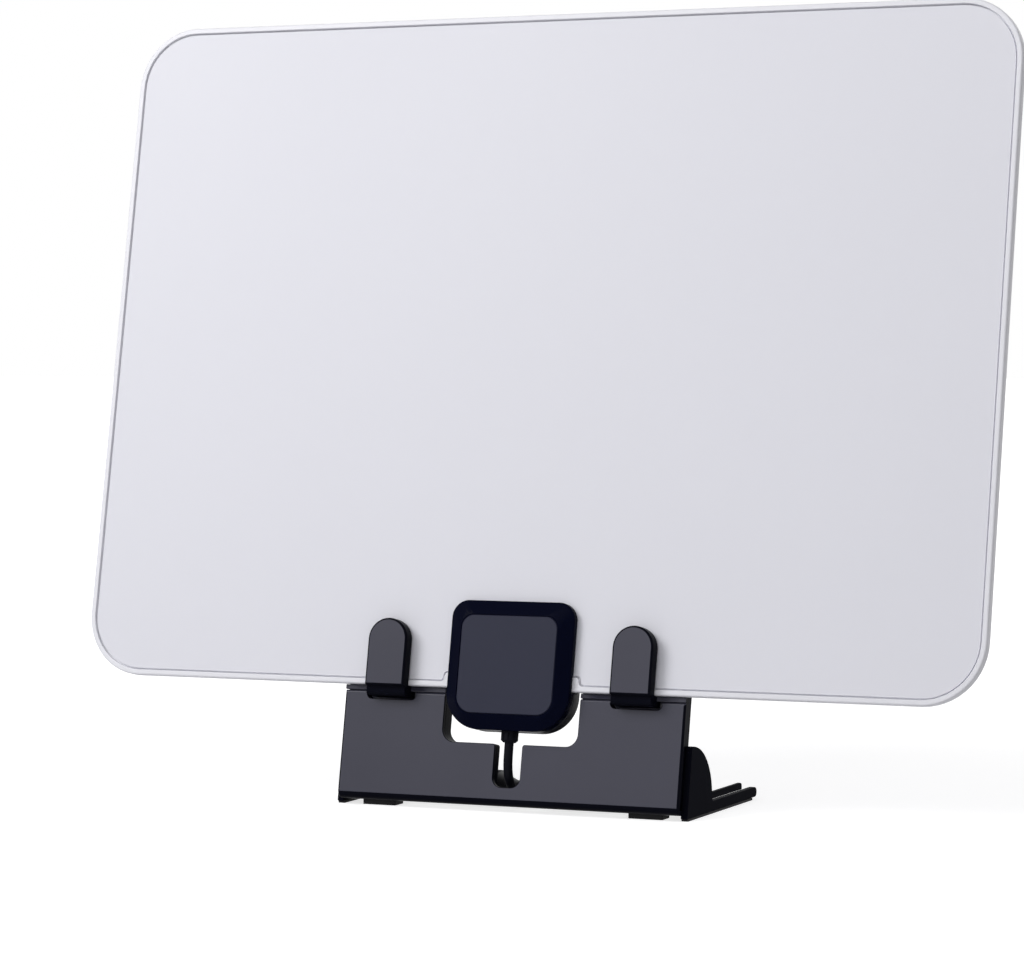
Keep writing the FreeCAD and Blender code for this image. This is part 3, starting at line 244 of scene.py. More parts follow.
def moulded_skin_group():
    """Fine moulded grain with slow changes of tone and gloss."""
    group, given, result = new_group(
        "Moulded skin",
        [("Colour", (0.5, 0.5, 0.5, 1.0)), ("Tone", 0.1), ("Grain Scale", 2500.0), ("Patch Scale", 20.0),
         ("Roughness", 0.4), ("Gloss Change", 0.1)],
        [("Colour", "NodeSocketColor"), ("Roughness", "NodeSocketFloat"), ("Height", "NodeSocketFloat")])
    link = group.links.new
    place = add_node(group, "ShaderNodeTexCoord")
    grain = add_node(group, "ShaderNodeTexNoise", Detail=3.0, Roughness=0.6)
    patch = add_node(group, "ShaderNodeTexNoise", Detail=4.0, Roughness=0.55)
    link(place.outputs["Object"], grain.inputs["Vector"])
    link(place.outputs["Object"], patch.inputs["Vector"])
    link(given.outputs["Grain Scale"], grain.inputs["Scale"])
    link(given.outputs["Patch Scale"], patch.inputs["Scale"])
    shift = add_node(group, "ShaderNodeMapRange")
    shift.inputs["From Min"].default_value = 0.3
    shift.inputs["From Max"].default_value = 0.7
    shift.inputs["To Min"].default_value = -1.0
    link(patch.outputs["Fac"], shift.inputs["Value"])
    tone = add_node(group, "ShaderNodeMath", operation="MULTIPLY")
    link(shift.outputs["Result"], tone.inputs[0])
    link(given.outputs["Tone"], tone.inputs[1])
    gain = add_node(group, "ShaderNodeMath", operation="ADD")
    gain.inputs[1].default_value = 1.0
    link(tone.outputs[0], gain.inputs[0])
    shade = add_node(group, "ShaderNodeVectorMath", operation="SCALE")
    link(given.outputs["Colour"], shade.inputs[0])
    link(gain.outputs[0], shade.inputs["Scale"])
    link(shade.outputs[0], result.inputs["Colour"])
    spread = add_node(group, "ShaderNodeMath", operation="MULTIPLY_ADD")
    link(shift.outputs["Result"], spread.inputs[0])
    link(given.outputs["Gloss Change"], spread.inputs[1])
    link(given.outputs["Roughness"], spread.inputs[2])
    link(spread.outputs[0], result.inputs["Roughness"])
    link(grain.outputs["Fac"], result.inputs["Height"])
    return group


def drawn_metal_group():
    """Fine lines and spots of a plated or rolled metal."""
    group, given, result = new_group(
        "Drawn metal",
        [("Colour", (0.5, 0.5, 0.5, 1.0)), ("Line Scale", 900.0), ("Roughness", 0.25)],
        [("Colour", "NodeSocketColor"), ("Roughness", "NodeSocketFloat"), ("Height", "NodeSocketFloat")])
    link = group.links.new
    place = add_node(group, "ShaderNodeTexCoord")
    stretch = add_node(group, "ShaderNodeMapping")
    stretch.inputs["Scale"].default_value = (1.0, 1.0, 0.08)
    lines = add_node(group, "ShaderNodeTexNoise", Detail=4.0, Roughness=0.7)
    link(place.outputs["Object"], stretch.inputs["Vector"])
    link(stretch.outputs["Vector"], lines.inputs["Vector"])
    link(given.outputs["Line Scale"], lines.inputs["Scale"])
    gain = add_node(group, "ShaderNodeMapRange")
    gain.inputs["To Min"].default_value = 0.8
    gain.inputs["To Max"].default_value = 1.1
    link(lines.outputs["Fac"], gain.inputs["Value"])
    shade = add_node(group, "ShaderNodeVectorMath", operation="SCALE")
    link(given.outputs["Colour"], shade.inputs[0])
    link(gain.outputs["Result"], shade.inputs["Scale"])
    link(shade.outputs[0], result.inputs["Colour"])
    spread = add_node(group, "ShaderNodeMath", operation="MULTIPLY_ADD")
    spread.inputs[1].default_value = 0.15
    link(lines.outputs["Fac"], spread.inputs[0])
    link(given.outputs["Roughness"], spread.inputs[2])
    link(spread.outputs[0], result.inputs["Roughness"])
    link(lines.outputs["Fac"], result.inputs["Height"])
    return group


GROUPS = {}


def shader_group(name):
    """A shared shader group, built once."""
    if name not in GROUPS:
        GROUPS[name] = {"skin": moulded_skin_group, "metal": drawn_metal_group}[name]()
    return GROUPS[name]


def finish_material(name, group, sockets, relief, metallic=0.0, coat=0.0, specular=0.5):
    """A material from one shared group, with its bump depth in metres."""
    material = bpy.data.materials.new(name)
    material.use_nodes = True
    tree = material.node_tree
    shader = tree.nodes["Principled BSDF"]
    skin = tree.nodes.new("ShaderNodeGroup")
    skin.node_tree = shader_group(group)
    for label, value in sockets.items():
        skin.inputs[label].default_value = value
    bump = add_node(tree, "ShaderNodeBump", Strength=1.0, Distance=relief)
    tree.links.new(skin.outputs["Height"], bump.inputs["Height"])
    tree.links.new(skin.outputs["Colour"], shader.inputs["Base Color"])
    tree.links.new(skin.outputs["Roughness"], shader.inputs["Roughness"])
    tree.links.new(bump.outputs["Normal"], shader.inputs["Normal"])
    shader.inputs["Metallic"].default_value = metallic
    shader.inputs["Coat Weight"].default_value = coat
    shader.inputs["Coat Roughness"].default_value = 0.08
    shader.inputs["Specular IOR Level"].default_value = specular
    return material


def moulded(name, colour, roughness, grain=2500.0, relief=0.004 * MM, tone=0.03, patch=18.0, change=0.04, **more):
    """A moulded plastic or rubber."""
    sockets = {"Colour": (*colour, 1.0), "Tone": tone, "Grain Scale": grain, "Patch Scale": patch,
               "Roughness": roughness, "Gloss Change": change}
    return finish_material(name, "skin", sockets, relief, **more)


def plated(name, colour, roughness, lines=900.0, relief=0.002 * MM):
    """A plated or rolled metal."""
    sockets = {"Colour": (*colour, 1.0), "Line Scale": lines, "Roughness": roughness}
    return finish_material(name, "metal", sockets, relief, metallic=1.0)


def finish(slot):
    """The material of one of the record's slots."""
    found = bpy.data.materials.get(f"finish_{slot}")
    if found:
        return found
    look = bpy.context.scene.antenna_finish
    name = f"finish_{slot}"
    makers = {
        "panel_white": lambda: moulded(name, look.panel, 0.48, grain=3200, relief=0.003 * MM, tone=0.012, patch=9),
        "rim_white": lambda: moulded(name, look.rim, 0.4, grain=2600, relief=0.002 * MM, tone=0.01, patch=30),
        "back_white": lambda: moulded(name, look.panel, 0.55, grain=1800, relief=0.006 * MM, tone=0.02, patch=12),
        "clear_film": lambda: moulded(name, (0.6, 0.56, 0.42), 0.2),
        "foil": lambda: plated(name, (0.58, 0.6, 0.62), 0.3),
        "box_gloss": lambda: moulded(name, look.box, 0.26, grain=900, relief=0.0006 * MM, tone=0.08, change=0.03,
                                     specular=0.015),
        "box_satin": lambda: moulded(name, look.box_face, 0.42, grain=4200, relief=0.004 * MM, tone=0.04,
                                     specular=0.2),
        "box_back": lambda: moulded(name, look.leg, 0.5, grain=3000, relief=0.01 * MM, tone=0.06),
        "board_green": lambda: moulded(name, (0.025, 0.15, 0.042), 0.35),
        "ferrite": lambda: moulded(name, (0.024, 0.024, 0.026), 0.6),
        "steel": lambda: plated(name, (0.5, 0.5, 0.52), 0.25, lines=2500),
        "stand_plastic": lambda: moulded(name, look.stand, 0.36, grain=3000, relief=0.004 * MM, tone=0.05, patch=14,
                                         specular=0.35),
        "leg_plastic": lambda: moulded(name, look.leg, 0.4, grain=3000, relief=0.004 * MM, tone=0.06, specular=0.003),
        "foot_rubber": lambda: moulded(name, look.rubber, 0.75, grain=1500, relief=0.02 * MM, tone=0.15, specular=0.3),
        "cable_rubber": lambda: moulded(name, look.cable, 0.5, grain=1800, relief=0.012 * MM, tone=0.12,
                                        specular=0.06),
        "tie_plastic": lambda: moulded(name, look.cable, 0.45, grain=1500, relief=0.01 * MM, tone=0.1),
        "plug_plastic": lambda: moulded(name, look.leg, 0.45, grain=2200, relief=0.01 * MM, tone=0.1),
        "plug_metal": lambda: plated(name, (0.62, 0.61, 0.57), 0.14, lines=1200),
        "insulator_white": lambda: moulded(name, (0.79, 0.77, 0.71), 0.4),
    }
    return makers[slot]()


def stand_painted_shade():
    """A smooth near-black material painted on the stand's sides, edges and back as shade, where they don't look
    forwards.
    """
    name = "finish_stand_side"
    found = bpy.data.materials.get(name)
    if found:
        return found
    look = bpy.context.scene.antenna_finish
    return moulded(name, look.side, 0.3, grain=2400, relief=0.002 * MM, tone=0.08, specular=0.012)


def paint_all(nodes):
    """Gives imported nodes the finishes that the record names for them."""
    slots = {row["node"]: row["material_slot"] for row in frame["record"]["subparts"]}
    for node in nodes:
        mesh = NODES[node].data
        mesh.materials.clear()
        mesh.materials.append(finish(slots[node]))


def new_piece(name, data, slot):
    """A finished piece that rides with the object."""
    piece = bpy.data.objects.new(name, data)
    bpy.context.scene.collection.objects.link(piece)
    data.materials.clear()
    data.materials.append(finish(slot))
    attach(piece, BODY)
    return piece


def shade(mesh, sharp=CREASE):
    """Smooth shading that keeps edges sharper than an angle."""
    mesh.polygons.foreach_set("use_smooth", [True] * len(mesh.polygons))
    mesh.set_sharp_from_angle(angle=math.radians(sharp))
    mesh.update()


def baked(holder, name):
    """The plain mesh of an object with its modifiers worked in; the object is taken away."""
    bpy.context.view_layer.update()
    seen = holder.evaluated_get(bpy.context.evaluated_depsgraph_get())
    mesh = bpy.data.meshes.new_from_object(seen)
    mesh.name = name
    source = holder.data
    holder.modifiers.clear()
    bpy.data.objects.remove(holder)
    bpy.data.meshes.remove(source)
    return mesh


def holder_for(mesh):
    """A passing object that carries a mesh while its modifiers are worked in."""
    holder = bpy.data.objects.new("holder", mesh)
    bpy.context.scene.collection.objects.link(holder)
    return holder


def roundable(edge, width):
    """Whether an edge is an outer corner with room beside it; a narrow land keeps its edges."""
    roomy = all(len(face.verts) < LAND_SIDES or face.calc_area() > LAND_ROOM * width * face.calc_perimeter()
                for face in edge.link_faces)
    return roomy and edge.is_convex and edge.calc_face_angle() > SHARP


def merged_copy(node, width):
    """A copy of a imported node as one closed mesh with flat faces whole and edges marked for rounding."""
    source = NODES[node].data
    mesh = bpy.data.meshes.new(f"{node}_copy")
    mesh.from_pydata([vertex.co.copy() for vertex in source.vertices], [],
                     [tuple(face.vertices) for face in source.polygons])
    work = bmesh.new()
    work.from_mesh(mesh)
    bmesh.ops.remove_doubles(work, verts=work.verts, dist=MERGE)
    bmesh.ops.dissolve_limit(work, angle_limit=FLAT, verts=work.verts, edges=work.edges)
    bmesh.ops.dissolve_degenerate(work, dist=MERGE, edges=work.edges)
    marks = work.edges.layers.float.new("bevel_weight_edge")
    for edge in work.edges:
        edge[marks] = float(roundable(edge, width))
    work.to_mesh(mesh)
    work.free()
    return mesh


def paint_side_shade(mesh, side):
    """Paints shade on a stand moulding: its faces that don't look forwards, and the hooks' floors in front of the
    panel, get a second, darker material.
    """
    mesh.materials.append(side)
    forwards = LEAN_FRAME.to_3x3() @ Vector((0, 0, 1))
    flat = LEAN_FRAME.inverted()
    for face in mesh.polygons:
        spot = flat @ face.center
        shown = spot.y > HOOK_START * MM or spot.z < 0
        seam = spot.z < 0 and -SEAM_REACH * MM < spot.y < 0
        steep = SEAM_STEEP if seam else FACE_STEEP
        face.material_index = 0 if shown and face.normal.dot(forwards) > steep else 1


def dressed(node, slot, width, side=None):
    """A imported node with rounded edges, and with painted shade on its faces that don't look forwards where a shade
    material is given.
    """
    mesh = merged_copy(node, width)
    mesh.polygons.foreach_set("use_smooth", [True] * len(mesh.polygons))
    holder = holder_for(mesh)
    bevel = holder.modifiers.new("edges", "BEVEL")
    bevel.width = width
    bevel.segments = ROUND_STEPS
    bevel.limit_method = "WEIGHT"
    bevel.use_clamp_overlap = False
    weld = holder.modifiers.new("weld", "WELD")
    weld.merge_threshold = WELD
    holder.modifiers.new("normals", "WEIGHTED_NORMAL")
    mesh = baked(holder, f"{node}_dressed")
    piece = new_piece(f"{node}_dressed", mesh, slot)
    if side:
        paint_side_shade(mesh, side)
    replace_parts(piece, node)


def new_tree(name, inputs):
    """An empty Geometry Nodes tree with named inputs after its geometry."""
    tree = bpy.data.node_groups.new(name, "GeometryNodeTree")
    tree.interface.new_socket("Geometry", in_out="INPUT", socket_type="NodeSocketGeometry")
    for label, kind in inputs:
        tree.interface.new_socket(label, in_out="INPUT", socket_type=kind)
    tree.interface.new_socket("Geometry", in_out="OUTPUT", socket_type="NodeSocketGeometry")
    return tree, tree.nodes.new("NodeGroupInput"), tree.nodes.new("NodeGroupOutput")


def run_tree(mesh, tree, values, name):
    """The mesh that a tree makes from a mesh, with its inputs set by their identifiers."""
    holder = holder_for(mesh)
    modifier = holder.modifiers.new("nodes", "NODES")
    modifier.node_group = tree
    for item in tree.interface.items_tree:
        if item.in_out == "INPUT" and item.name in values:
            modifier[item.identifier] = values[item.name]
    return baked(holder, name)


def joined(tree, *parts):
    """Several geometries as one."""
    node = add_node(tree, "GeometryNodeJoinGeometry")
    for part in parts:
        tree.links.new(part, node.inputs["Geometry"])
    return node.outputs["Geometry"]


def finish_tree(tree, given, result, geometry):
    """Ends a tree: instances made real, then the finish set."""
    real = add_node(tree, "GeometryNodeRealizeInstances")
    tree.links.new(geometry, real.inputs["Geometry"])
    coat = add_node(tree, "GeometryNodeSetMaterial")
    tree.links.new(real.outputs["Geometry"], coat.inputs["Geometry"])
    tree.links.new(given.outputs["Finish"], coat.inputs["Material"])
    tree.links.new(coat.outputs["Geometry"], result.inputs["Geometry"])


def scaled(tree, socket, factor):
    """A socket's number times a factor."""
    node = add_node(tree, "ShaderNodeMath", operation="MULTIPLY")
    tree.links.new(socket, node.inputs[0])
    node.inputs[1].default_value = factor
    return node.outputs[0]


def vector(tree, **parts):
    """A vector from number sockets by axis."""
    node = add_node(tree, "ShaderNodeCombineXYZ")
    for axis, socket in parts.items():
        tree.links.new(socket, node.inputs[axis])
    return node.outputs[0]


def ring_mesh(name, rings):
    """A closed mesh from rings of points, each joined to the next, with flat ends."""
    work = bmesh.new()
    loops = [[work.verts.new(spot) for spot in ring] for ring in rings]
    for lower, upper in zip(loops, loops[1:]):
        for step in range(len(lower)):
            after = (step + 1) % len(lower)
            work.faces.new((lower[step], lower[after], upper[after], upper[step]))
    work.faces.new(loops[0][::-1])
    work.faces.new(loops[-1])
    bmesh.ops.recalc_face_normals(work, faces=work.faces)
    mesh = bpy.data.meshes.new(name)
    work.to_mesh(mesh)
    work.free()
    return mesh


def ring(angles, along, radius):
    """Points round the Z axis, in metres; the radius is a number or goes by the angle."""
    reach = radius if callable(radius) else lambda angle: radius
    return [(math.cos(angle) * reach(angle) * MM, math.sin(angle) * reach(angle) * MM, along * MM)
            for angle in angles]


def screw_mesh(name, radius, recess, thick, shank, length):
    """One screw with its head's seat at zero and its shank along Z: a sloped crown with a cross recess."""
    half = radius * recess / 2
    arm = radius * CROSS_ARM
    first = math.atan2(half, arm)
    between = (math.pi / 2 - 2 * first) / CROSS_STEPS
    quarter = [0, first / 2] + [first + between * step for step in range(CROSS_STEPS + 1)]
    quarter.append(math.pi / 2 - first / 2)
    angles = [turn * math.pi / 2 + angle for turn in range(4) for angle in quarter]

    def cross(angle):
        """How far the cross reaches at an angle."""
        across = max(abs(math.cos(angle)), 1e-9)
        along = max(abs(math.sin(angle)), 1e-9)
        return max(min(arm / across, half / along), min(half / across, arm / along))

    levels = [(-CROSS_FLOOR * thick, cross), (-thick, cross)]
    levels += [(-height * thick, reach * radius) for reach, height in CROWN]
    levels += [(0, radius), (0, shank), (length, shank)]
    return ring_mesh(name, [ring(angles, along, reach) for along, reach in levels])


def screw_tree():
    """Copies of one screw in two rows that run outwards from the middle."""
    numbers = ("Inner", "Pitch", "Up", "Seat")
    tree, given, result = new_tree("Screw set", [("Count", "NodeSocketInt")]
                                   + [(label, "NodeSocketFloat") for label in numbers]
                                   + [("Finish", "NodeSocketMaterial")])
    inner, pitch, up, seat = [given.outputs[label] for label in numbers]
    rows = []
    for side in (-1.0, 1.0):
        row = add_node(tree, "GeometryNodeMeshLine")
        tree.links.new(given.outputs["Count"], row.inputs["Count"])
        tree.links.new(vector(tree, X=scaled(tree, inner, side), Y=up, Z=seat), row.inputs["Start Location"])
        tree.links.new(vector(tree, X=scaled(tree, pitch, side)), row.inputs["Offset"])
        rows.append(row.outputs["Mesh"])
    spread = add_node(tree, "GeometryNodeInstanceOnPoints")
    tree.links.new(joined(tree, *rows), spread.inputs["Points"])
    tree.links.new(given.outputs["Geometry"], spread.inputs["Instance"])
    finish_tree(tree, given, result, spread.outputs["Instances"])
    return tree


def add_screws(node, places, screw):
    """A set of screws in the leaning frame; the places give the tree's inputs in millimetres."""
    tree = bpy.data.node_groups.get("Screw set") or screw_tree()
    values = {label: value if label == "Count" else value * MM for label, value in places.items()}
    mesh = run_tree(screw, tree, {**values, "Finish": finish("steel")}, f"{node}_cross")
    mesh.transform(LEAN_FRAME)
    shade(mesh)
    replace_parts(new_piece(f"{node}_cross", mesh, "steel"), node)


def rib_tree():
    """A ring of straight ribs joined to a turned body."""
    numbers = ("Ring Radius", "Rib Width", "Rib Height", "Rib Length", "Start")
    tree, given, result = new_tree("Grip ribs", [("Ribs", "NodeSocketInt")]
                                   + [(label, "NodeSocketFloat") for label in numbers]
                                   + [("Finish", "NodeSocketMaterial")])
    link = tree.links.new
    ring_radius, width, height, length, start = [given.outputs[label] for label in numbers]
    circle = add_node(tree, "GeometryNodeMeshCircle")
    link(given.outputs["Ribs"], circle.inputs["Vertices"])
    link(ring_radius, circle.inputs["Radius"])
    rib = add_node(tree, "GeometryNodeMeshCylinder", Vertices=RIB_SIDES)
    link(scaled(tree, width, 0.5), rib.inputs["Radius"])
    link(length, rib.inputs["Depth"])
    flat = add_node(tree, "GeometryNodeTransform")
    link(rib.outputs["Mesh"], flat.inputs["Geometry"])
    ratio = add_node(tree, "ShaderNodeMath", operation="DIVIDE")
    link(height, ratio.inputs[0])
    link(scaled(tree, width, 0.5), ratio.inputs[1])
    squeeze = add_node(tree, "ShaderNodeCombineXYZ", Y=1.0, Z=1.0)
    link(ratio.outputs[0], squeeze.inputs["X"])
    link(squeeze.outputs[0], flat.inputs["Scale"])
    middle = add_node(tree, "ShaderNodeMath", operation="MULTIPLY_ADD")
    link(length, middle.inputs[0])
    middle.inputs[1].default_value = 0.5
    link(start, middle.inputs[2])
    link(vector(tree, Z=middle.outputs[0]), flat.inputs["Translation"])
    outward = add_node(tree, "GeometryNodeInputPosition")
    facing = add_node(tree, "FunctionNodeAlignRotationToVector", axis="X", pivot_axis="Z")
    link(outward.outputs[0], facing.inputs["Vector"])
    spread = add_node(tree, "GeometryNodeInstanceOnPoints")
    link(circle.outputs["Mesh"], spread.inputs["Points"])
    link(flat.outputs["Geometry"], spread.inputs["Instance"])
    link(facing.outputs[0], spread.inputs["Rotation"])
    finish_tree(tree, given, result, joined(tree, given.outputs["Geometry"], spread.outputs["Instances"]))
    return tree


def smooth_step(share):
    """A soft change from 0 to 1."""
    share = max(0.0, min(1.0, share))
    return share * share * (3 - 2 * share)


def coil_points(settings):
    """Points of the wound turns: one free cell lets the turns change places one after another."""
    steps = settings.coil_points
    # The line runs a little inside its points, so the points lie a little outside the turn
    outside = 8 / (6 + 2 * math.cos(2 * math.pi / steps))
    centre = COIL_CENTRE * MM
    moves = len(COIL_CELLS) - 1
    window = 1.0 / moves
    points = []
    for index in range(int(COIL_TURNS * steps)):
        travelled = (index + 0.5) / steps
        turn = int(travelled)
        share = travelled - turn
        start = (moves - 1 - turn) * window
        moved = smooth_step((share - start + window) / (CHANGE_SHARES * window))
        here = Vector(COIL_CELLS[turn])
        there = Vector(COIL_CELLS[min(turn + 1, moves)])
        column, row = here.lerp(there, moved)
        radius = (settings.coil_radius - column * settings.coil_pitch) * outside
        angle = math.pi - travelled * 2 * math.pi
        points.append(centre + Vector((math.cos(angle) * radius, math.sin(angle) * radius,
                                       row * settings.coil_pitch)))
    return points


class ANTENNA_OT_stage(bpy.types.Operator):
    """Makes the floor, the lights and the camera"""
    bl_idname = "antenna.stage"
    bl_label = "Stage"

    def execute(self, context):
        settings = context.scene.antenna_stage
        self.camera(context, settings)
        self.floor(context)
        self.lights(context, settings)
        self.world(context, settings)
        context.scene.view_settings.view_transform = "Standard"
        return {"FINISHED"}

    def camera(self, context, settings):
        """The camera of the photograph."""
        data = bpy.data.cameras.new("camera")
        data.lens = settings.lens
        data.sensor_width = SENSOR_WIDTH
        camera = bpy.data.objects.new("camera", data)
        context.scene.collection.objects.link(camera)
        turn = Matrix((CAMERA_RIGHT, CAMERA_UP, CAMERA_RIGHT.cross(CAMERA_UP))).transposed()
        camera.matrix_world = Matrix.Translation(CAMERA_PLACE) @ turn.to_4x4()
        context.scene.camera = camera

    def floor(self, context):
        """A pale floor that keeps the object's shadow."""
        mesh = bpy.data.meshes.new("floor")
        corners = [(x * FLOOR_REACH, y * FLOOR_REACH, 0) for x, y in ((-1, -1), (1, -1), (1, 1), (-1, 1))]
        mesh.from_pydata(corners, [], [(0, 1, 2, 3)])
        floor = bpy.data.objects.new("floor", mesh)
        context.scene.collection.objects.link(floor)
        material = bpy.data.materials.new("pale_floor")
        material.use_nodes = True
        tree = material.node_tree
        shader = tree.nodes["Principled BSDF"]
        shader.inputs["Base Color"].default_value = (0.6, 0.6, 0.61, 1)
        shader.inputs["Roughness"].default_value = 0.85
        shader.inputs["Specular IOR Level"].default_value = 0.1
        shader.inputs["Emission Color"].default_value = (1, 1, 1, 1)
        place = add_node(tree, "ShaderNodeTexCoord")
        away = add_node(tree, "ShaderNodeVectorMath", operation="LENGTH")
        tree.links.new(place.outputs["Object"], away.inputs[0])
        white = add_node(tree, "ShaderNodeMapRange", interpolation_type="SMOOTHSTEP")
        for label, value in FLOOR_WHITE.items():
            white.inputs[label].default_value = value
        tree.links.new(away.outputs["Value"], white.inputs["Value"])
        glow = add_node(tree, "ShaderNodeMath", operation="MULTIPLY")
        tree.links.new(self.seen_directly(tree), glow.inputs[0])
        tree.links.new(white.outputs["Result"], glow.inputs[1])
        tree.links.new(glow.outputs[0], shader.inputs["Emission Strength"])
        mesh.materials.append(material)

    def seen_directly(self, tree):
        """Socket that is 1 for what the camera sees, also in a mirror or through glass."""
        path = add_node(tree, "ShaderNodeLightPath")
        seen = path.outputs["Is Camera Ray"]
        for label in ("Is Glossy Ray", "Is Transmission Ray"):
            either = add_node(tree, "ShaderNodeMath", operation="MAXIMUM")
            tree.links.new(seen, either.inputs[0])
            tree.links.new(path.outputs[label], either.inputs[1])
            seen = either.outputs[0]
        return seen

    def lights(self, context, settings):
        """Soft round lamps that all face the object."""
        for name, width, place in LAMPS:
            data = bpy.data.lights.new(name, "AREA")
            data.energy = getattr(settings, name)
            data.shape = "DISK"
            data.size = width
            lamp = bpy.data.objects.new(name, data)
            context.scene.collection.objects.link(lamp)
            lamp.location = place
            lamp.rotation_euler = (LAMP_AIM - Vector(place)).to_track_quat("-Z", "Y").to_euler()

    def world(self, context, settings):
        """Even light on the object, and white where the camera looks past it."""
        world = bpy.data.worlds.new("studio")
        context.scene.world = world
        world.use_nodes = True
        tree = world.node_tree
        even = tree.nodes["Background"]
        even.inputs["Color"].default_value = (1, 1, 1, 1)
        even.inputs["Strength"].default_value = settings.sky
        seen = add_node(tree, "ShaderNodeBackground", Strength=1.0)
        seen.inputs["Color"].default_value = (1, 1, 1, 1)
        mix = add_node(tree, "ShaderNodeMixShader")
        tree.links.new(self.seen_directly(tree), mix.inputs["Fac"])
        tree.links.new(even.outputs[0], mix.inputs[1])
        tree.links.new(seen.outputs[0], mix.inputs[2])
        tree.links.new(mix.outputs[0], tree.nodes["World Output"].inputs["Surface"])


class ANTENNA_OT_cable(bpy.types.Operator):
    """Lays the cable from the box to its plug, with the spare length coiled"""
    bl_idname = "antenna.cable"
    bl_label = "Cable"

    def execute(self, context):
        settings = context.scene.antenna_cable
        points = [Vector(spot) * MM for spot in CABLE_FALL]
        points += coil_points(settings)
        points += [Vector(spot) * MM for spot in PLUG_LEAD]
        plug_nodes = ("cable_tie", "plug_shell", "plug_insulator", "plug_pin")
        curve = bpy.data.curves.new("cable", "CURVE")
        curve.dimensions = "3D"
        curve.bevel_depth = settings.width / 2
        curve.bevel_resolution = CABLE_SIDES
        curve.use_fill_caps = True
        spline = curve.splines.new("NURBS")
        spline.points.add(len(points) - 1)
        for knot, place in zip(spline.points, points):
            knot.co = (*place, 1.0)
        spline.order_u = CABLE_ORDER
        spline.use_endpoint_u = True
        spline.resolution_u = CABLE_STEPS
        cable = new_piece("cable", curve, "cable_rubber")
        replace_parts(cable, "coax_cable", "cable_coil", "plug_lead")
        paint_all((*plug_nodes, "strain_relief"))
        on_cable = [NODES[name] for name in plug_nodes]
        on_cable += [self.grip(context), self.tie_head(context)]
        return {"FINISHED"}

    def grip(self, context):
        """The plug's ribbed grip, on the line of the cable's end."""
        settings = context.scene.antenna_plug
        radius = GRIP_RADIUS * MM - settings.rib_height
        core = radius / MM
        # Radius and distance along the plug, from the cable's end to the bottom of the socket
        profile = ((2.25, 0), (2.4, 0.2), (2.7, 1.6), (core - 0.5, 6.2), (core, 6.9), (core, 8.0), (core, 16.9),
                   (GRIP_RADIUS, 17.0), (GRIP_RADIUS, 17.75), (GRIP_RADIUS - 0.25, 18.0),
                   (GRIP_SOCKET, 18.0), (GRIP_SOCKET, 13.0))
        angles = [2 * math.pi * step / GRIP_SIDES for step in range(GRIP_SIDES)]
        body = ring_mesh("plug_grip_body", [ring(angles, along, reach) for reach, along in profile])
        values = {"Ribs": settings.ribs, "Ring Radius": radius, "Rib Width": settings.rib_width,
                  "Rib Height": settings.rib_height, "Rib Length": RIB_LENGTH * MM, "Start": RIB_START * MM,
                  "Finish": finish("plug_plastic")}
        mesh = run_tree(body, rib_tree(), values, "plug_grip_ribbed")
        turn = Vector((0, 0, 1)).rotation_difference(PLUG_HEADING).to_matrix().to_4x4()
        mesh.transform(Matrix.Translation(Vector(PLUG_LEAD[-1]) * MM) @ turn)
        shade(mesh, SMALL_CREASE)
        piece = new_piece("plug_grip_ribbed", mesh, "plug_plastic")
        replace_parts(piece, "plug_grip")
        return piece

    def tie_head(self, context):
        """The tie's square head and its short tail, on the strap's upper side."""
        low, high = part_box("cable_tie")
        width = context.scene.antenna_plug.tie_head / MM
        middle = Vector(((low[0] + high[0]) / 2 + TIE_SHIFT * MM, (low[1] + high[1]) / 2, high[2]))
        rise = (0, 0, BUCKLE_RISE)
        work = bmesh.new()
        for size, shift, lean in (((BUCKLE_LENGTH, width, BUCKLE_HEIGHT), rise, 0.0), (SLOT_SIZE, rise, 0.0),
                                  (TAIL_SIZE, TAIL_PLACE, TAIL_LEAN)):
            place = Matrix.Translation(middle + Vector(shift) * MM) @ Matrix.Rotation(lean, 4, "Y")
            sides = Matrix.Diagonal((*(Vector(size) * MM), 1.0))
            bmesh.ops.create_cube(work, size=1.0, matrix=place @ sides)
        bmesh.ops.bevel(work, geom=work.edges, offset=TIE_EDGE * MM, segments=ROUND_STEPS, affect="EDGES", profile=0.5)
        mesh = bpy.data.meshes.new("cable_tie_head")
        work.to_mesh(mesh)
        work.free()
        shade(mesh, SMALL_CREASE)
        return new_piece("cable_tie_head", mesh, "tie_plastic")


class ANTENNA_OT_panel(bpy.types.Operator):
    """Finishes the panel's rim, sheets and inner layers"""
    bl_idname = "antenna.panel"
    bl_label = "Panel"

    def execute(self, context):
        paint_all(("front_sheet", "rear_sheet", "antenna_film", "left_radiator", "right_radiator"))
        dressed("panel_rim", "rim_white", context.scene.antenna_edges.rim)
        return {"FINISHED"}


class ANTENNA_OT_box(bpy.types.Operator):
    """Finishes the junction box"""
    bl_idname = "antenna.box"
    bl_label = "Junction box"

    def execute(self, context):
        width = context.scene.antenna_edges.box
        screws = context.scene.antenna_screws
        paint_all(("box_face_plate", "circuit_board", "balun_core"))
        dressed("box_front_cover", "box_gloss", width)
        dressed("box_rear_cover", "box_back", width)
        screw = screw_mesh("box_screw", screws.box_head / MM, screws.recess, **BOX_SCREW)
        add_screws("box_screws", BOX_SCREWS, screw)
        return {"FINISHED"}


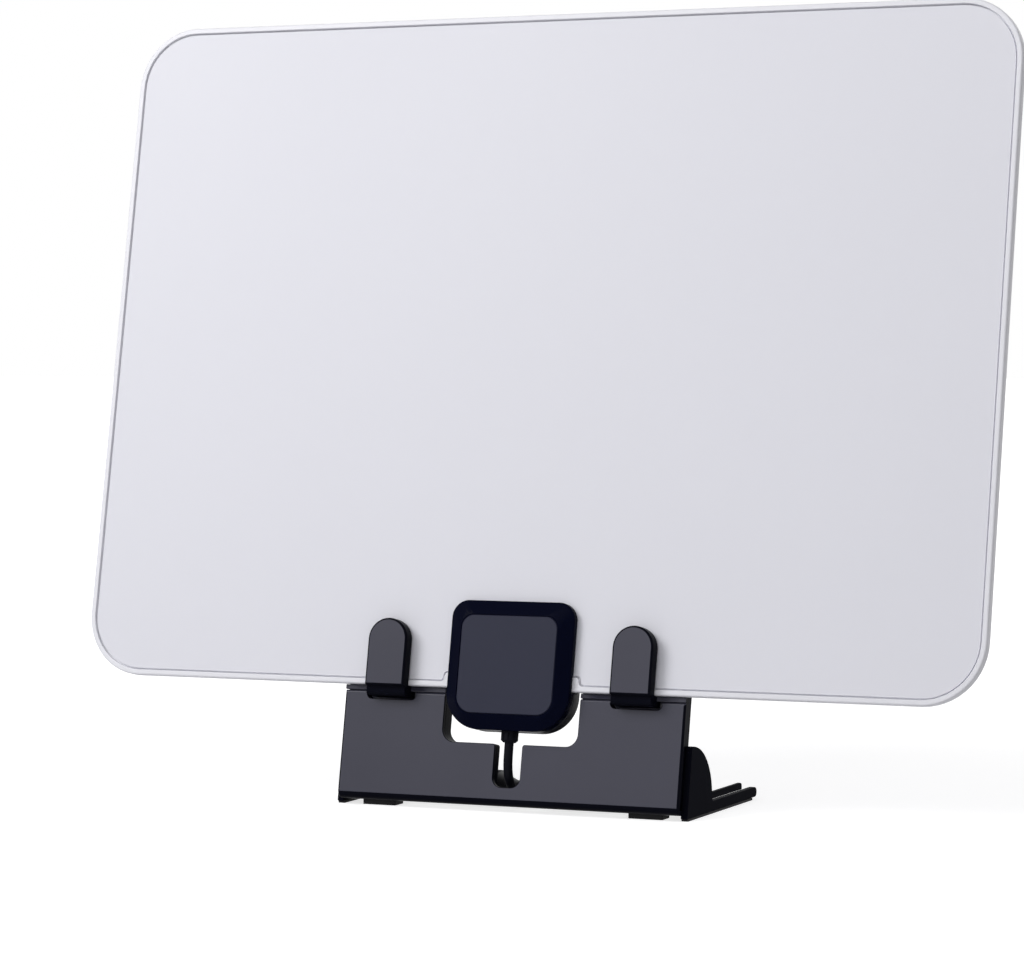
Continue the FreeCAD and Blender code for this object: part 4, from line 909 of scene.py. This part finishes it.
class ANTENNA_OT_stand(bpy.types.Operator):
    """Finishes the stand, its legs and feet"""
    bl_idname = "antenna.stand"
    bl_label = "Stand"

    def execute(self, context):
        edges = context.scene.antenna_edges
        screws = context.scene.antenna_screws
        paint_all(("left_front_foot", "right_front_foot", "left_leg_strip", "right_leg_strip"))
        for node in ("stand_front_cover", "stand_rear_body"):
            # painted shade on the faces that don't look forwards
            dressed(node, "stand_plastic", edges.stand, stand_painted_shade())
        for node in ("left_leg", "right_leg"):
            dressed(node, "leg_plastic", edges.leg)
        screw = screw_mesh("leg_screw", screws.leg_head / MM, screws.recess, **LEG_SCREW)
        add_screws("leg_screws", LEG_SCREWS, screw)
        return {"FINISHED"}


OPERATORS = (ANTENNA_OT_stage, ANTENNA_OT_cable, ANTENNA_OT_panel, ANTENNA_OT_box, ANTENNA_OT_stand)


class ANTENNA_PT_looks(bpy.types.Panel):
    """Lists the steps of the antenna's looks"""
    bl_label = "Antenna looks"
    bl_idname = "ANTENNA_PT_looks"
    bl_space_type = "VIEW_3D"
    bl_region_type = "UI"
    bl_category = "Antenna"

    def draw(self, context):
        for operator in OPERATORS:
            self.layout.operator(operator.bl_idname)


SETTINGS = (("antenna_cable", CableSettings), ("antenna_finish", FinishSettings), ("antenna_screws", ScrewSettings),
            ("antenna_plug", PlugSettings), ("antenna_edges", EdgeSettings), ("antenna_stage", StageSettings))


def register():
    """Registers the settings, the operators and the panel."""
    for name, group in SETTINGS:
        bpy.utils.register_class(group)
        setattr(bpy.types.Scene, name, PointerProperty(type=group))
    for operator in OPERATORS:
        bpy.utils.register_class(operator)
    bpy.utils.register_class(ANTENNA_PT_looks)


def unregister():
    """Takes everything out again."""
    bpy.utils.unregister_class(ANTENNA_PT_looks)
    for operator in reversed(OPERATORS):
        bpy.utils.unregister_class(operator)
    for name, group in reversed(SETTINGS):
        delattr(bpy.types.Scene, name)
        bpy.utils.unregister_class(group)


def main():
    """Builds the looks."""
    register()
    bpy.ops.antenna.stage()
    bpy.ops.antenna.cable()
    bpy.ops.antenna.panel()
    bpy.ops.antenna.box()
    bpy.ops.antenna.stand()


if __name__ == "__main__":
    main()
